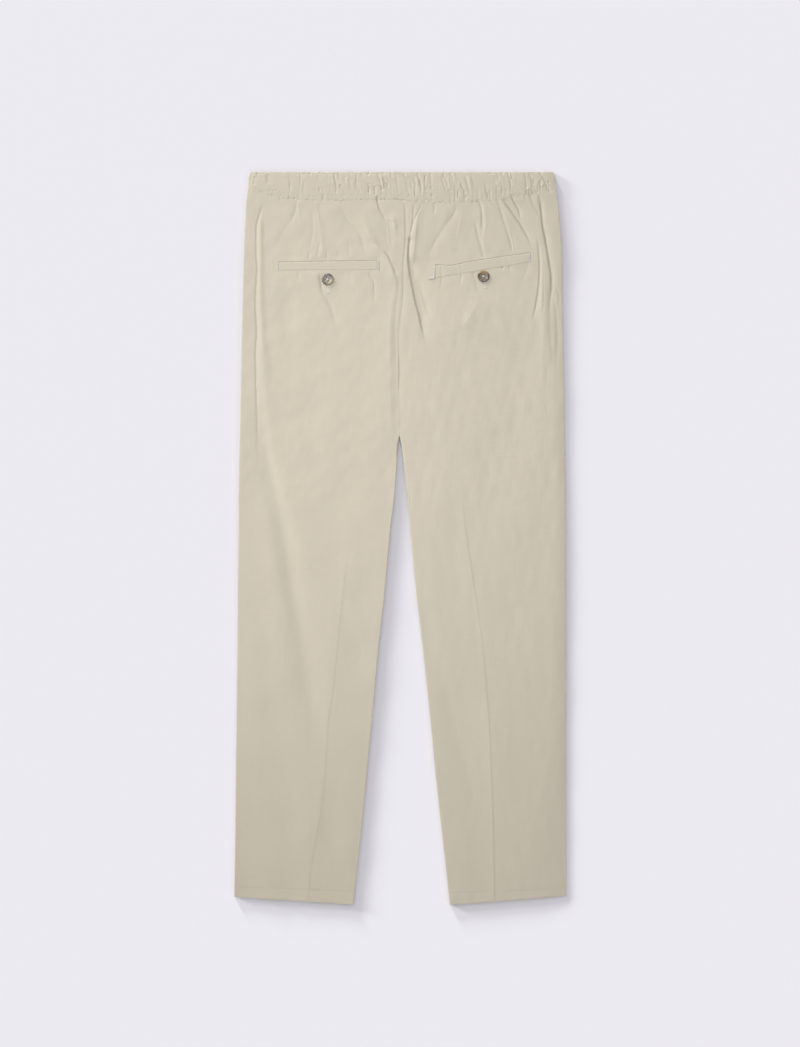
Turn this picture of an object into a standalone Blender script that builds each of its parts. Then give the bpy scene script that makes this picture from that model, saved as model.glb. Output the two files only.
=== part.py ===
"""Linen drawstring trousers, laid flat with the back up.

X runs across the garment, +Y towards the waistband and +Z up from the surface it lies on.
Sizes are in millimetres and are turned into metres where a mesh is made.  "down" is the
distance from the top of the waistband towards the hems.  The origin is on the surface,
under the middle of the garment.
"""

import math

import bmesh
import bpy
import numpy as np

MM = 0.001

# Driving sizes
OUTSEAM = 1000.0  # top of the waistband to the hem
CROTCH_DOWN = 360.0
SEAM_GAP = 0.3
CLOTH_WALL = 1.2
BAND_WALL = 1.2
FRONT_BAND_THICK = 2.0  # the casing with its elastic, pressed flat
WELT_WALL = 1.1

# Heights of the outer face of the back cloth above the surface
FLAT_TOP = 4.8
EDGE_TOP = 2.9
HEM_TOP = 3.4
LOWEST_TOP = 2.9
HIGHEST_TOP = 6.9
EDGE_ROLL = 15.0  # how far in from an edge the cloth is still rounding over
HEM_ROLL = 12.0

# The tables below start with a row that names their columns.

# The outline: sides and inner edges at each distance down
OUTLINE = (
    ("down", "left side", "left inner", "right inner", "right side"),
    (0.0, -200.5, 3.0, 3.0, 206.5),
    (8.0, -207.0, 3.0, 3.0, 211.2),
    (40.0, -209.0, 4.0, 4.0, 214.6),
    (95.0, -212.0, 5.5, 5.5, 220.2),
    (150.0, -213.5, 1.5, 1.5, 220.9),
    (230.0, -215.5, -2.0, -2.0, 222.4),
    (CROTCH_DOWN, -218.0, -0.5, -0.5, 224.1),
    (407.0, -219.5, -5.4, 6.2, 225.2),
    (488.0, -220.0, -13.3, 14.2, 226.0),
    (652.0, -221.5, -29.7, 31.6, 226.4),
    (816.0, -223.5, -44.9, 48.3, 226.4),
    (900.0, -224.5, -52.8, 57.5, 226.6),
    (OUTSEAM, -226.0, -63.9, 68.4, 226.6),
)

# The seam that joins the back of the waistband to the two back pieces
WAIST_SEAM = (
    ("x", "down"),
    (-209.0, 23.0),
    (-190.0, 28.5),
    (-168.0, 34.0),
    (-136.0, 38.0),
    (-80.0, 38.7),
    (-43.0, 37.0),
    (3.0, 37.6),
    (29.0, 41.3),
    (65.0, 41.5),
    (104.0, 39.3),
    (142.0, 37.5),
    (163.0, 32.0),
    (192.0, 26.0),
    (213.0, 24.5),
)

# Lines across each leg that the rows of its mesh follow, and the rows from each to the next.
# The waist seam has a curve of its own.
LEFT_ROW_LINES = (
    ("line", "down at the side", "down at x = 0", "rows to the next"),
    ("waist seam", None, None, 9),
    ("welt top", 123.6, 119.7, 2),
    ("welt bottom", 134.9, 132.9, 12),
    ("crotch", CROTCH_DOWN, CROTCH_DOWN, 12),
    ("hem stitching", 976.0, 985.0, 1),
    ("hem", 989.0, 1003.5, 0),
)
RIGHT_ROW_LINES = (
    ("line", "down at the side", "down at x = 0", "rows to the next"),
    ("waist seam", None, None, 9),
    ("welt top", 103.7, 136.6, 2),
    ("welt bottom", 115.6, 153.2, 12),
    ("crotch", CROTCH_DOWN, CROTCH_DOWN, 12),
    ("hem stitching", 979.0, 987.0, 1),
    ("hem", 988.0, 1005.1, 0),
)

WELT_TOP, WELT_BOTTOM = 1, 2  # the row lines along a welt's edges

# Columns of each leg's mesh, as shares of the way from its side to its centre
WELT_SPAN = {"left": (0.213, 0.859), "right": (0.203, 0.791)}
COLUMNS_SIDE, COLUMNS_WELT, COLUMNS_CENTRE = 6, 18, 5
FRONT_COLUMNS = 7

# The pressed crease of each leg, which one column of the mesh follows
CREASE = (
    ("down", "left x", "right x"),
    (450.0, -66.0, 86.0),
    (523.0, -72.5, 96.0),
    (607.0, -82.0, 107.5),
    (697.0, -91.0, 118.0),
    (816.0, -102.5, 125.0),
    (900.0, -113.0, 128.0),
    (1000.0, -128.5, 130.0),
)
CREASE_SHARE = 0.66  # about where it is between the side and the inside leg
CREASE_HEIGHT = 1.0
CREASE_WIDTH = 9.0
CREASE_FROM = {"left": 520.0, "right": 440.0}

# Folds of the back cloth.  Each runs from its start through its middle to its end and fades
# out at both.  A height above zero is a ridge and one below it is a trough.
FOLDS = (
    ("name", "start", "middle", "end", "height", "half width"),
    ("left side ridge", (-187, 12), (-192, 150), (-188, 275), 1.4, 6),
    ("left thigh ridge", (-190, 240), (-171, 379), (-120, 560), 1.3, 10),
    ("left side trough", (-190, 12), (-199, 170), (-194, 400), -1.2, 6),
    ("left inner trough", (-180, 60), (-181, 202), (-145, 430), -0.7, 6),
    ("left hip tuck", (-140, 10), (-145, 52), (-164, 92), -1.2, 6),
    ("left pocket ridge", (-122, 12), (-113, 64), (-107, 116), 1.3, 6),
    ("left pocket trough", (-84, 12), (-73, 64), (-50, 116), -1.4, 7),
    ("left seat ridge", (-72, 10), (-37, 95), (-12, 150), 1.8, 9),
    ("left seat ridge end", (-14, 125), (-12, 190), (-20, 290), 1.3, 8),
    ("left seat trough", (-35, 5), (-18, 72), (-8, 140), -1.5, 6),
    ("left seat crease", (-9, 115), (-8, 202), (-11, 320), -1.0, 6),
    ("centre trough", (38, 10), (12, 92), (16, 165), -1.8, 6),
    ("centre trough end", (12, 135), (21, 186), (33, 245), -1.6, 7),
    ("centre ridge", (48, 12), (24, 95), (33, 185), 1.4, 7),
    ("right seat trough", (71, 8), (64, 66), (31, 124), -1.7, 7),
    ("right seat ridge", (86, 12), (78, 70), (47, 122), 1.1, 8),
    ("right pocket trough", (108, 8), (107, 68), (113, 118), -1.2, 6),
    ("right pocket ridge", (119, 12), (117, 68), (121, 112), 1.1, 6),
    ("right pocket crease", (134, 12), (143, 68), (152, 110), -1.2, 6),
    ("right hip tuck", (140, 8), (160, 64), (182, 106), -1.2, 6),
    ("right side trough", (182, 5), (196, 84), (205, 148), -1.6, 6),
    ("right side trough end", (203, 118), (208, 185), (216, 285), -1.2, 6),
    ("right hip crease", (191, 90), (188, 155), (175, 222), -1.4, 6),
    ("right hip ridge", (197, 95), (195, 160), (184, 214), 1.0, 5),
    ("left button crease", (-111, 148), (-98, 182), (-85, 224), -0.8, 7),
)
FOLD_STEPS = 12
FOLD_FADE = 0.28  # share of a fold's length that fades at each end
WELT_FLATTEN = 9.0  # the folds are whole again this far from a welt
SEAM_FLATTEN = 14.0  # and this far below the waist seam
SEAM_FOLD_SHARE = 0.4  # what is left of a fold at the waist seam

# Gathers of the back waistband: each row is the trough between two gathers
GATHERS = (
    ("top x", "seam x", "depth"),
    (-189.0, -186.0, 0.5),
    (-171.0, -168.0, 0.5),
    (-151.5, -150.0, 0.9),
    (-137.0, -133.5, 1.0),
    (-121.5, -118.5, 0.6),
    (-106.0, -103.5, 0.6),
    (-90.0, -87.5, 0.9),
    (-76.5, -71.5, 0.9),
    (-62.5, -60.0, 0.8),
    (-54.5, -51.0, 0.7),
    (-46.5, -42.5, 0.9),
    (-38.0, -34.0, 0.8),
    (-29.0, -24.5, 0.9),
    (-18.5, -15.5, 0.8),
    (-10.5, -7.5, 0.7),
    (-3.0, 0.5, 0.7),
    (5.0, 8.5, 0.9),
    (16.5, 20.5, 0.9),
    (28.0, 34.0, 1.0),
    (41.0, 47.0, 0.9),
    (54.5, 63.0, 0.9),
    (67.0, 75.0, 0.8),
    (76.5, 85.0, 0.8),
    (87.0, 96.0, 1.0),
    (103.0, 107.5, 0.9),
    (116.0, 120.5, 0.8),
    (127.5, 134.0, 0.9),
    (136.5, 143.0, 0.8),
    (145.0, 152.5, 0.9),
    (153.5, 163.0, 0.8),
    (169.5, 174.5, 0.9),
    (182.5, 188.0, 0.8),
    (190.5, 198.0, 0.8),
    (198.5, 206.0, 0.7),
)
GATHER_STEPS = 4  # mesh columns in one gather
GATHER_RISE = 1.5  # height of a full gather over its troughs
WIDE_GATHER = 13.0  # gathers narrower than this are lower

# Across the back waistband, from its top edge to its seam
BAND_ROWS = (
    ("share down", "trough height", "gather share"),
    (0.0, 4.0, 0.5),
    (0.1, 5.1, 0.8),
    (0.42, 5.5, 1.0),
    (0.78, 4.7, 0.65),
    (1.0, 4.7, 0.65),
)
BAND_END_DEPTH = 0.5
BAND_END_BLEND = 20.0  # how far in the columns bend to meet the outline
BAND_END_ROLL = 14.0
BAND_END_TOP = 3.7

# Rows of the flat front waistband, as shares of the way down
FRONT_BAND_ROWS = (0.0, 0.2, 1.0)

# Buttonholes in the front of the waistband that the drawstring comes out of
CORD_HOLE_SPREAD = 36.0  # between the two
CORD_HOLE_LENGTH = 15.0
CORD_HOLE_WIDTH = 3.0
CORD_HOLE_DEPTH = 1.3  # through the outer cloth of the casing
CORD_HOLE_DOWN = 19.0

# Buttons: turned horn with four holes
BUTTON_RADIUS = 8.0
BUTTON_THICK = 2.2
BUTTON_DISH_RADIUS = 5.2
BUTTON_DISH_DEPTH = 0.7
BUTTON_HOLE_RADIUS = 0.85
BUTTON_HOLE_SPREAD = 3.4
BUTTON_STEPS = 28
BUTTONS = {"left": (-98.5, 146.0), "right": (114.0, 142.6)}

LINEN_COLOUR = (0.597, 0.552, 0.445, 1.0)
HORN_COLOUR = (0.130, 0.105, 0.080, 1.0)


def rows_of(table):
    """The table's rows as dictionaries keyed by its column names."""
    return [dict(zip(table[0], row)) for row in table[1:]]


def at(table, key, column):
    """The column's value at this key, read along straight lines between the rows."""
    rows = np.array(table[1:], float)
    return float(np.interp(key, rows[:, 0], rows[:, table[0].index(column)]))


def side_of(leg, down):
    return at(OUTLINE, down, f"{leg} side")


def inner_of(leg, down):
    """The inner edge: the centre seam down to the crotch, the inside leg below it."""
    return at(OUTLINE, down, f"{leg} inner")


def side_at(x):
    """The name of the side that x lies on."""
    return "left" if x < 0 else "right"


def seam_down(x):
    return at(WAIST_SEAM, x, "down")


def eased(share):
    """A share of 0 to 1 with a soft start and end."""
    share = np.clip(share, 0.0, 1.0)
    return share * share * (3.0 - 2.0 * share)


def fold_path(start, middle, end):
    """Points along the curve that passes through the three given ones."""
    t = np.linspace(0.0, 1.0, FOLD_STEPS + 1)[:, None]
    start, middle, end = (np.array(point, float) for point in (start, middle, end))
    return (
        start * (1 - t) * (1 - 2 * t) + middle * 4 * t * (1 - t) + end * t * (2 * t - 1)
    )


FOLD_PATHS = [
    (fold, fold_path(fold["start"], fold["middle"], fold["end"])) for fold in rows_of(FOLDS)
]


def fold_height(x, down, fold, path):
    """The height that one fold adds at a point."""
    starts, runs = path[:-1], np.diff(path, axis=0)
    offset = np.array((x, down)) - starts
    share = np.clip((offset * runs).sum(1) / (runs * runs).sum(1), 0.0, 1.0)
    away = np.hypot(*(offset - runs * share[:, None]).T)
    nearest = int(away.argmin())
    along = (nearest + share[nearest]) / FOLD_STEPS
    fade = eased(min(along, 1.0 - along) / FOLD_FADE)
    return fold["height"] * fade * math.exp(-((away[nearest] / fold["half width"]) ** 2))


def line_down(line, x, leg):
    """How far down one of the row lines is at x."""
    if line["line"] == "waist seam":
        return seam_down(x) + SEAM_GAP / 2
    at_side, at_middle = line["down at the side"], line["down at x = 0"]
    return at_middle + (at_side - at_middle) * x / side_of(leg, at_side)


def welt_distance(x, down, leg, lines):
    """How far a point is from the leg's welt, and zero on it."""
    above = line_down(lines[WELT_TOP], x, leg) - down
    below = down - line_down(lines[WELT_BOTTOM], x, leg)
    width = inner_of(leg, down) - side_of(leg, down)
    share = (x - side_of(leg, down)) / width
    first, last = WELT_SPAN[leg]
    beside = max(first - share, share - last) * abs(width)
    return max(above, below, beside, 0.0)


def crease_x(leg, down):
    return at(CREASE, down, f"{leg} x")


def cloth_top(x, down, leg, lines):
    """Height of the outer face of a back piece."""
    from_side = abs(x - side_of(leg, down))
    from_inner = abs(x - inner_of(leg, down))
    from_hem = line_down(lines[-1], x, leg) - down
    inner_share = eased((down - CROTCH_DOWN + 25.0) / 60.0)

    drop = (FLAT_TOP - EDGE_TOP) * (1.0 - min(from_side / EDGE_ROLL, 1.0)) ** 2
    drop += (
        inner_share * (FLAT_TOP - EDGE_TOP) * (1.0 - min(from_inner / EDGE_ROLL, 1.0)) ** 2
    )
    drop += (FLAT_TOP - HEM_TOP) * (1.0 - min(max(from_hem, 0.0) / HEM_ROLL, 1.0)) ** 2

    folds = sum(fold_height(x, down, fold, path) for fold, path in FOLD_PATHS)
    folds *= eased(welt_distance(x, down, leg, lines) / WELT_FLATTEN)
    from_seam = (down - seam_down(x)) / SEAM_FLATTEN
    folds *= SEAM_FOLD_SHARE + (1.0 - SEAM_FOLD_SHARE) * eased(from_seam)
    crease = CREASE_HEIGHT * eased((down - CREASE_FROM[leg]) / 120.0)
    folds += crease * max(1.0 - abs(x - crease_x(leg, down)) / CREASE_WIDTH, 0.0)
    return float(np.clip(FLAT_TOP - drop + folds, LOWEST_TOP, HIGHEST_TOP))


def column_shares(leg):
    """Shares from the side to the centre, with a column at each end of the welt."""
    first, last = WELT_SPAN[leg]
    return np.concatenate([
        np.linspace(0.0, first, COLUMNS_SIDE, endpoint=False),
        np.linspace(first, last, COLUMNS_WELT, endpoint=False),
        np.linspace(last, 1.0, COLUMNS_CENTRE + 1),
    ])


def leg_points(leg, lines, shares, height):
    """Rows of points over one leg, from the waist seam to the hem."""
    crease_column = int(np.abs(shares - CREASE_SHARE).argmin())
    home = shares[crease_column]
    rows = []
    for upper, lower in zip(lines, lines[1:]):
        count = upper["rows to the next"]
        rows += [(upper, lower, step / count) for step in range(count)]
    rows.append((lines[-2], lines[-1], 1.0))
    grid = []
    for upper, lower, part in rows:
        row = []
        for share in shares:
            # The line's height depends on x and x on the height, so settle the two together.
            down = CROTCH_DOWN
            for _ in range(4):
                side = side_of(leg, down)
                inner = inner_of(leg, down) + math.copysign(SEAM_GAP / 2, side)
                crease_share = (crease_x(leg, down) - side) / (inner - side)
                pull = (crease_share - home) * eased((down - CROTCH_DOWN) / 120.0)
                near = share / home if share < home else (1.0 - share) / (1.0 - home)
                x = side + (inner - side) * (share + pull * near)
                start, end = line_down(upper, x, leg), line_down(lower, x, leg)
                down = start + (end - start) * part
            row.append((x, down, height(x, down)))
        grid.append(row)
    return grid


def sheet_from(name, grid, wall, collection):
    """A cloth wall whose outer face passes through the grid's points."""
    mesh = bpy.data.meshes.new(name)
    scene_points = [
        (x * MM, (OUTSEAM / 2 - down) * MM, z * MM) for row in grid for x, down, z in row
    ]
    wide = len(grid[0])
    faces = [
        (r * wide + c, (r + 1) * wide + c, (r + 1) * wide + c + 1, r * wide + c + 1)
        for r in range(len(grid) - 1)
        for c in range(wide - 1)
    ]
    mesh.from_pydata(scene_points, [], faces)
    bm = bmesh.new()
    bm.from_mesh(mesh)
    bmesh.ops.recalc_face_normals(bm, faces=bm.faces)
    if sum(face.normal.z for face in bm.faces) < 0:
        bmesh.ops.reverse_faces(bm, faces=bm.faces)
    bm.to_mesh(mesh)
    bm.free()
    mesh.shade_smooth()
    obj = bpy.data.objects.new(name, mesh)
    collection.objects.link(obj)
    solid = obj.modifiers.new("Wall", "SOLIDIFY")
    solid.thickness = wall * MM
    solid.offset = -1.0
    return obj


def back_band_points():
    """Rows of points over the back waistband.  Its columns follow the gathers."""
    ends = {
        leg: {
            "top x": side_of(leg, 0.0),
            "seam x": side_of(leg, seam_down(side_of(leg, 0.0))),
            "depth": BAND_END_DEPTH,
        }
        for leg in ("left", "right")
    }
    troughs = [ends["left"]] + rows_of(GATHERS) + [ends["right"]]
    grid = []
    for band_row in rows_of(BAND_ROWS):
        share_down = band_row["share down"]
        row = []
        for this, following in zip(troughs, troughs[1:]):
            width = min((following["top x"] - this["top x"]) / WIDE_GATHER, 1.0)
            for step in range(GATHER_STEPS + (following is ends["right"])):
                share = step / GATHER_STEPS
                top_x, seam_x, depth = (
                    this[column] + (following[column] - this[column]) * share
                    for column in ("top x", "seam x", "depth")
                )
                down = (seam_down(seam_x) - SEAM_GAP / 2) * share_down
                x = top_x + (seam_x - top_x) * share_down
                # The outer columns lie on the outline.
                end = ends[side_at(x)]
                straight = end["top x"] + (end["seam x"] - end["top x"]) * share_down
                from_end = abs(x - straight)
                x += (side_of(side_at(x), down) - straight) * max(
                    1.0 - from_end / BAND_END_BLEND, 0.0
                )
                rise = GATHER_RISE * depth * width * math.sin(math.pi * share)
                z = band_row["trough height"] + band_row["gather share"] * rise
                z -= max(z - BAND_END_TOP, 0.0) * (
                    1.0 - min(from_end / BAND_END_ROLL, 1.0)
                ) ** 2
                row.append((x, down, z))
        grid.append(row)
    return grid


def front_band_points(left_front, right_front):
    """Rows of points over the flat front waistband, in line with the columns of the fronts."""
    seam_xs = [point[0] for point in left_front[0]]
    seam_xs += [point[0] for point in reversed(right_front[0][:-1])]
    grid = []
    for share_down in FRONT_BAND_ROWS:
        row = []
        for seam_x in seam_xs:
            seam_edge = seam_xs[0] if seam_x < 0 else seam_xs[-1]
            down = (seam_down(seam_x) - SEAM_GAP / 2) * share_down
            squeeze = side_of(side_at(seam_x), down) / seam_edge
            row.append((seam_x * squeeze, down, FRONT_BAND_THICK))
        grid.append(row)
    return grid


def welt_points(grid, lines):
    """The back piece's own points over the welt, moved out by the gap and the welt's wall."""
    first_row = sum(line["rows to the next"] for line in lines[:WELT_TOP])
    last_row = sum(line["rows to the next"] for line in lines[:WELT_BOTTOM])
    columns = slice(COLUMNS_SIDE, COLUMNS_SIDE + COLUMNS_WELT + 1)
    return [
        [(x, down, z + SEAM_GAP + WELT_WALL) for x, down, z in row[columns]]
        for row in grid[first_row:last_row + 1]
    ]


def top_under(grid, x, down, radius):
    """The highest point of a back piece under a disc, and of the faces that it reaches."""
    reach = radius * 1.4
    return max(
        z for row in grid for px, pd, z in row if math.hypot(px - x, pd - down) < reach
    )


def button(name, x, down, base, parts, cutters):
    """A turned disc with a raised rim and four holes."""
    half = BUTTON_THICK / 2
    rim = (BUTTON_RADIUS - BUTTON_DISH_RADIUS) / 2
    profile = (
        (0.0, half - BUTTON_DISH_DEPTH),
        (BUTTON_DISH_RADIUS - 1.0, half - BUTTON_DISH_DEPTH),
        (BUTTON_DISH_RADIUS, half - 0.1),
        (BUTTON_DISH_RADIUS + rim, half),
        (BUTTON_RADIUS - 0.3, half - 0.5),
        (BUTTON_RADIUS, 0.0),
        (BUTTON_RADIUS - 0.5, -half + 0.4),
        (BUTTON_RADIUS - 1.6, -half),
        (0.0, -half),
    )
    mesh = bpy.data.meshes.new(name)
    mesh.from_pydata(
        [(radius * MM, 0.0, height * MM) for radius, height in profile],
        [(i, i + 1) for i in range(len(profile) - 1)],
        [],
    )
    obj = bpy.data.objects.new(name, mesh)
    parts.objects.link(obj)
    turned = obj.modifiers.new("Turned", "SCREW")
    turned.steps = BUTTON_STEPS
    turned.render_steps = BUTTON_STEPS
    turned.use_merge_vertices = True
    turned.merge_threshold = 0.00001
    obj.location = (x * MM, (OUTSEAM / 2 - down) * MM, (base + half) * MM)

    reach = BUTTON_HOLE_SPREAD / 2
    for number, (dx, dy) in enumerate(((reach, 0), (0, reach), (-reach, 0), (0, -reach))):
        bpy.ops.mesh.primitive_cylinder_add(
            vertices=10, radius=BUTTON_HOLE_RADIUS * MM, depth=3 * BUTTON_THICK * MM,
            location=(obj.location.x + dx * MM, obj.location.y + dy * MM, obj.location.z),
        )
        cutter = bpy.context.object
        cutter.name = f"{name}_hole_{number + 1}"
        into(cutter, cutters)
        cut(obj, cutter)
    return obj


def cord_hole(name, x, cutters):
    """The cutter of one buttonhole, open at the outer face of the front waistband."""
    bpy.ops.mesh.primitive_cube_add(
        size=1.0, location=(x * MM, (OUTSEAM / 2 - CORD_HOLE_DOWN) * MM, 0.0)
    )
    cutter = bpy.context.object
    cutter.name = name
    cutter.scale = (CORD_HOLE_WIDTH * MM, CORD_HOLE_LENGTH * MM, 2 * CORD_HOLE_DEPTH * MM)
    bpy.ops.object.transform_apply(location=False, rotation=False, scale=True)
    into(cutter, cutters)
    return cutter


def cut(obj, cutter):
    modifier = obj.modifiers.new(cutter.name, "BOOLEAN")
    modifier.operation = "DIFFERENCE"
    modifier.solver = "EXACT"
    modifier.object = cutter


def into(cutter, cutters):
    """Moves a helper to the cutters' collection, drawn as wire and left out of renders."""
    for collection in list(cutter.users_collection):
        collection.objects.unlink(cutter)
    cutters.objects.link(cutter)
    cutter.hide_render = True
    cutter.display_type = "WIRE"


def paint(obj, name, colour, roughness):
    """Gives the object a material of its own."""
    made = bpy.data.materials.new(f"{obj.name} {name}")
    made.use_nodes = True
    shader = made.node_tree.nodes["Principled BSDF"]
    shader.inputs["Base Color"].default_value = colour
    shader.inputs["Roughness"].default_value = roughness
    shader.inputs["Metallic"].default_value = 0.0
    made.diffuse_color = colour
    obj.data.materials.append(made)


def linen(obj):
    paint(obj, "linen", LINEN_COLOUR, 0.9)


def horn(obj):
    paint(obj, "horn", HORN_COLOUR, 0.35)


def main():
    for obj in list(bpy.data.objects):
        bpy.data.objects.remove(obj)
    parts = bpy.data.collections.new("linen_drawstring_trousers")
    cutters = bpy.data.collections.new("cutters")
    bpy.context.scene.collection.children.link(parts)
    bpy.context.scene.collection.children.link(cutters)

    front_shares = np.linspace(0.0, 1.0, FRONT_COLUMNS + 1)
    fronts = {}
    for leg, table in (("left", LEFT_ROW_LINES), ("right", RIGHT_ROW_LINES)):
        lines = rows_of(table)
        back = leg_points(
            leg, lines, column_shares(leg),
            lambda x, down, leg=leg, lines=lines: cloth_top(x, down, leg, lines),
        )
        front = leg_points(leg, lines, front_shares, lambda x, down: CLOTH_WALL)
        fronts[leg] = front
        linen(sheet_from(f"back_{leg}", back, CLOTH_WALL, parts))
        linen(sheet_from(f"front_{leg}", front, CLOTH_WALL, parts))
        linen(sheet_from(f"welt_{leg}", welt_points(back, lines), WELT_WALL, parts))

        x, down = BUTTONS[leg]
        base = top_under(back, x, down, BUTTON_RADIUS) + SEAM_GAP
        horn(button(f"button_{leg}", x, down, base, parts, cutters))

    linen(sheet_from("waistband_back", back_band_points(), BAND_WALL, parts))
    front_band = sheet_from(
        "waistband_front", front_band_points(fronts["left"], fronts["right"]),
        FRONT_BAND_THICK, parts,
    )
    linen(front_band)
    for number, x in enumerate((-CORD_HOLE_SPREAD / 2, CORD_HOLE_SPREAD / 2)):
        cut(front_band, cord_hole(f"cord_hole_{number + 1}", x, cutters))


main()
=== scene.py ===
# Linen drawstring trousers, laid out flat with the back up.
# x runs across, "down" runs from the top of the waistband to the hems, z up from the table.
# Sizes here are millimetres. They turn into metres where a mesh is made.

import math
import bmesh
import bpy
import numpy as np
from mathutils import Matrix, Vector


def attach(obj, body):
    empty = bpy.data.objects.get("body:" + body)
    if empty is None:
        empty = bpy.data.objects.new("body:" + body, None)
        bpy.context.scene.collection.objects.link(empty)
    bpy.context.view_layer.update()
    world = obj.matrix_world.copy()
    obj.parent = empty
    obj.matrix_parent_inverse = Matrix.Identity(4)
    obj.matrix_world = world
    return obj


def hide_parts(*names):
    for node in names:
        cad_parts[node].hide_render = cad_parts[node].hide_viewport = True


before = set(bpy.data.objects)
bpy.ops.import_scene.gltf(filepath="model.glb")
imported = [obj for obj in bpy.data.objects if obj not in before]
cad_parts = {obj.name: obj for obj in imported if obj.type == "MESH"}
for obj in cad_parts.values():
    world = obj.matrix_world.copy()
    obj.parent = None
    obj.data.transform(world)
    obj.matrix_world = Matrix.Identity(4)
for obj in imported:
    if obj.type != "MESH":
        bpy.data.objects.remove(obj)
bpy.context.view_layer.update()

mm = 0.001
outseam = 1000.0    # from the top of the waistband to the hems
crotchDown = 360.0  # to where the legs part


# the outline and the centre seam: x at each distance down
outline = {
    "down": (0, 3, 8, 22, 38, 65, 95, 130, 175, 230, 300, 360,
             370, 380, 393, 407, 420, 447, 488, 570, 652, 734, 816, 898, 980, 1005),
    "left side": (-203.2, -204.8, -205.8, -206.4, -208.9, -210.4, -211.9, -212.9, -214.1, -215.4, -216.6,
                  -217.9, -218, -218.3, -218.6, -219.1, -219.3, -219.6, -219.8, -220.8, -221.4, -222.4,
                  -223.5, -224.3, -225.5, -225.9),
    "left inner": (3, 3, 3, 3.3, 4, 5, 5.5, 3.5, 0, -2, -2, -0.4,
                   -2.3, -3.2, -4.1, -5.3, -6.3, -8.2, -13.4, -20.8, -29.8, -37.2, -44.9,
                   -52.7, -61.9, -64.3),
    "right inner": (3, 3, 3, 3.3, 4, 5, 5.5, 3.5, 0, -2, -2, -0.4,
                    2.0, 3.6, 5.2, 6.5, 8.1, 11.0, 14.4, 22.0, 31.6, 40.6, 48.3,
                    57.2, 66.4, 68.8),
    "right side": (208.8, 210.4, 211.7, 212.4, 214.6, 217.2, 220.2, 220.8, 221.1, 222.4, 223.5, 224.1,
                   224.3, 224.6, 224.9, 225.2, 225.4, 225.7, 226, 226.2, 226.4, 226.4, 226.4,
                   226.6, 226.8, 226.8),
}
waistSeam = {
    "x": (-209, -190, -168, -136, -80, -43, 3, 29, 65, 104, 142, 163, 192, 213),
    "down": (23, 28.5, 34, 38, 38.7, 37, 37.6, 41.3, 41.5, 39.3, 37.5, 32, 26, 24.5),
}
# each line is (down at x = 0, slope across); the right pocket sits at a tilt
lines = {
    "left": {"weltTop": (120.2, -0.0184), "weltBottom": (132.9, -0.0095),
             "hemStitch": (985.0, 0.0410), "hem": (1003.5, 0.0642)},
    "right": {"weltTop": (136.6, -0.1490), "weltBottom": (153.2, -0.1700),
              "hemStitch": (987.0, -0.0356), "hem": (1005.1, -0.0757)},
}
weltEnds = {"left": (-166.4, -29.8), "right": (48.0, 176.5)}
# the folds push the right opening out of line here: x, half width, how far down
weltBends = ((73.0, 13.0, 1.7), (48.0, 12.0, -2.0))
buttonsAt = {"left": (-98.6, 146.4), "right": (114.1, 142.3)}

# heights of the cloth's outer face over the table
heights = {"flat": 4.8, "lowest": 2.4, "highest": 7.0, "front": 1.2, "contact": 0.02}
wall = 1.2     # the cloth with its seam allowances pressed under it
bandGap = 0.1  # between the waistband and the seam line


def eased(share):
    share = np.clip(share, 0.0, 1.0)
    return share * share * (3.0 - 2.0 * share)


def bell(gap, wide, power=2.0):
    # 1 in the middle and dying away over a width, rounder with a higher power
    return np.exp(-((np.abs(gap) / wide) ** power))


def rollOver(gap, wide):
    # 1 at an edge, easing down to 0 this far from it
    return (1.0 - np.clip(gap / wide, 0.0, 1.0)) ** 2


def outlineAt(column, down):
    return np.interp(down, outline["down"], outline[column])


def seamDown(x):
    return np.interp(x, waistSeam["x"], waistSeam["down"])


def lineDown(leg, name, x):
    if name == "seam":
        return seamDown(x)
    if not isinstance(name, str):
        return np.full(np.shape(x), float(name))
    at0, slope = lines[leg][name]
    bends = weltBends if (leg, name) == ("right", "weltTop") else ()
    return at0 + slope * x + sum(by * bell(x - at, wide) for at, wide, by in bends)


def smoothPath(points, steps=8):
    # a curve through the given points, bending evenly at each one
    points = np.array(points, float)
    ends = np.vstack([2 * points[0] - points[1], points, 2 * points[-1] - points[-2]])
    made = []
    for i in range(len(points) - 1):
        a, b, c, d = ends[i:i + 4]
        for t in np.linspace(0, 1, steps, endpoint=False):
            made.append(0.5 * (2 * b + (c - a) * t + (2 * a - 5 * b + 4 * c - d) * t ** 2
                               + (3 * b - a - 3 * c + d) * t ** 3))
    made.append(points[-1])
    return np.array(made)


def pathDistance(x, down, path):
    # distance to the path, how far along it (0 to 1), and on which side (1 is to the right)
    runs = np.diff(path, axis=0)
    lengths = np.hypot(runs[:, 0], runs[:, 1])
    reached = np.concatenate([[0.0], np.cumsum(lengths)])
    best = np.full(x.shape, 1e9)
    along = np.zeros(x.shape)
    side = np.ones(x.shape)
    for i, (run, length) in enumerate(zip(runs, lengths)):
        dx, dd = x - path[i, 0], down - path[i, 1]
        share = np.clip((dx * run[0] + dd * run[1]) / length ** 2, 0.0, 1.0)
        away = np.hypot(dx - run[0] * share, dd - run[1] * share)
        nearer = away < best
        best = np.where(nearer, away, best)
        along = np.where(nearer, (reached[i] + share * length) / reached[-1], along)
        side = np.where(nearer, np.sign(run[1] * dx - run[0] * dd), side)
    return best, along, side


# a path marks the steep left flank of its fold, and the middle lies to its right; nothing is worked out
# beyond the reach, which is in widths of the fold
foldShape = {"troughShift": 0.45, "ridgeShift": 0.3, "reach": 3.5}


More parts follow.
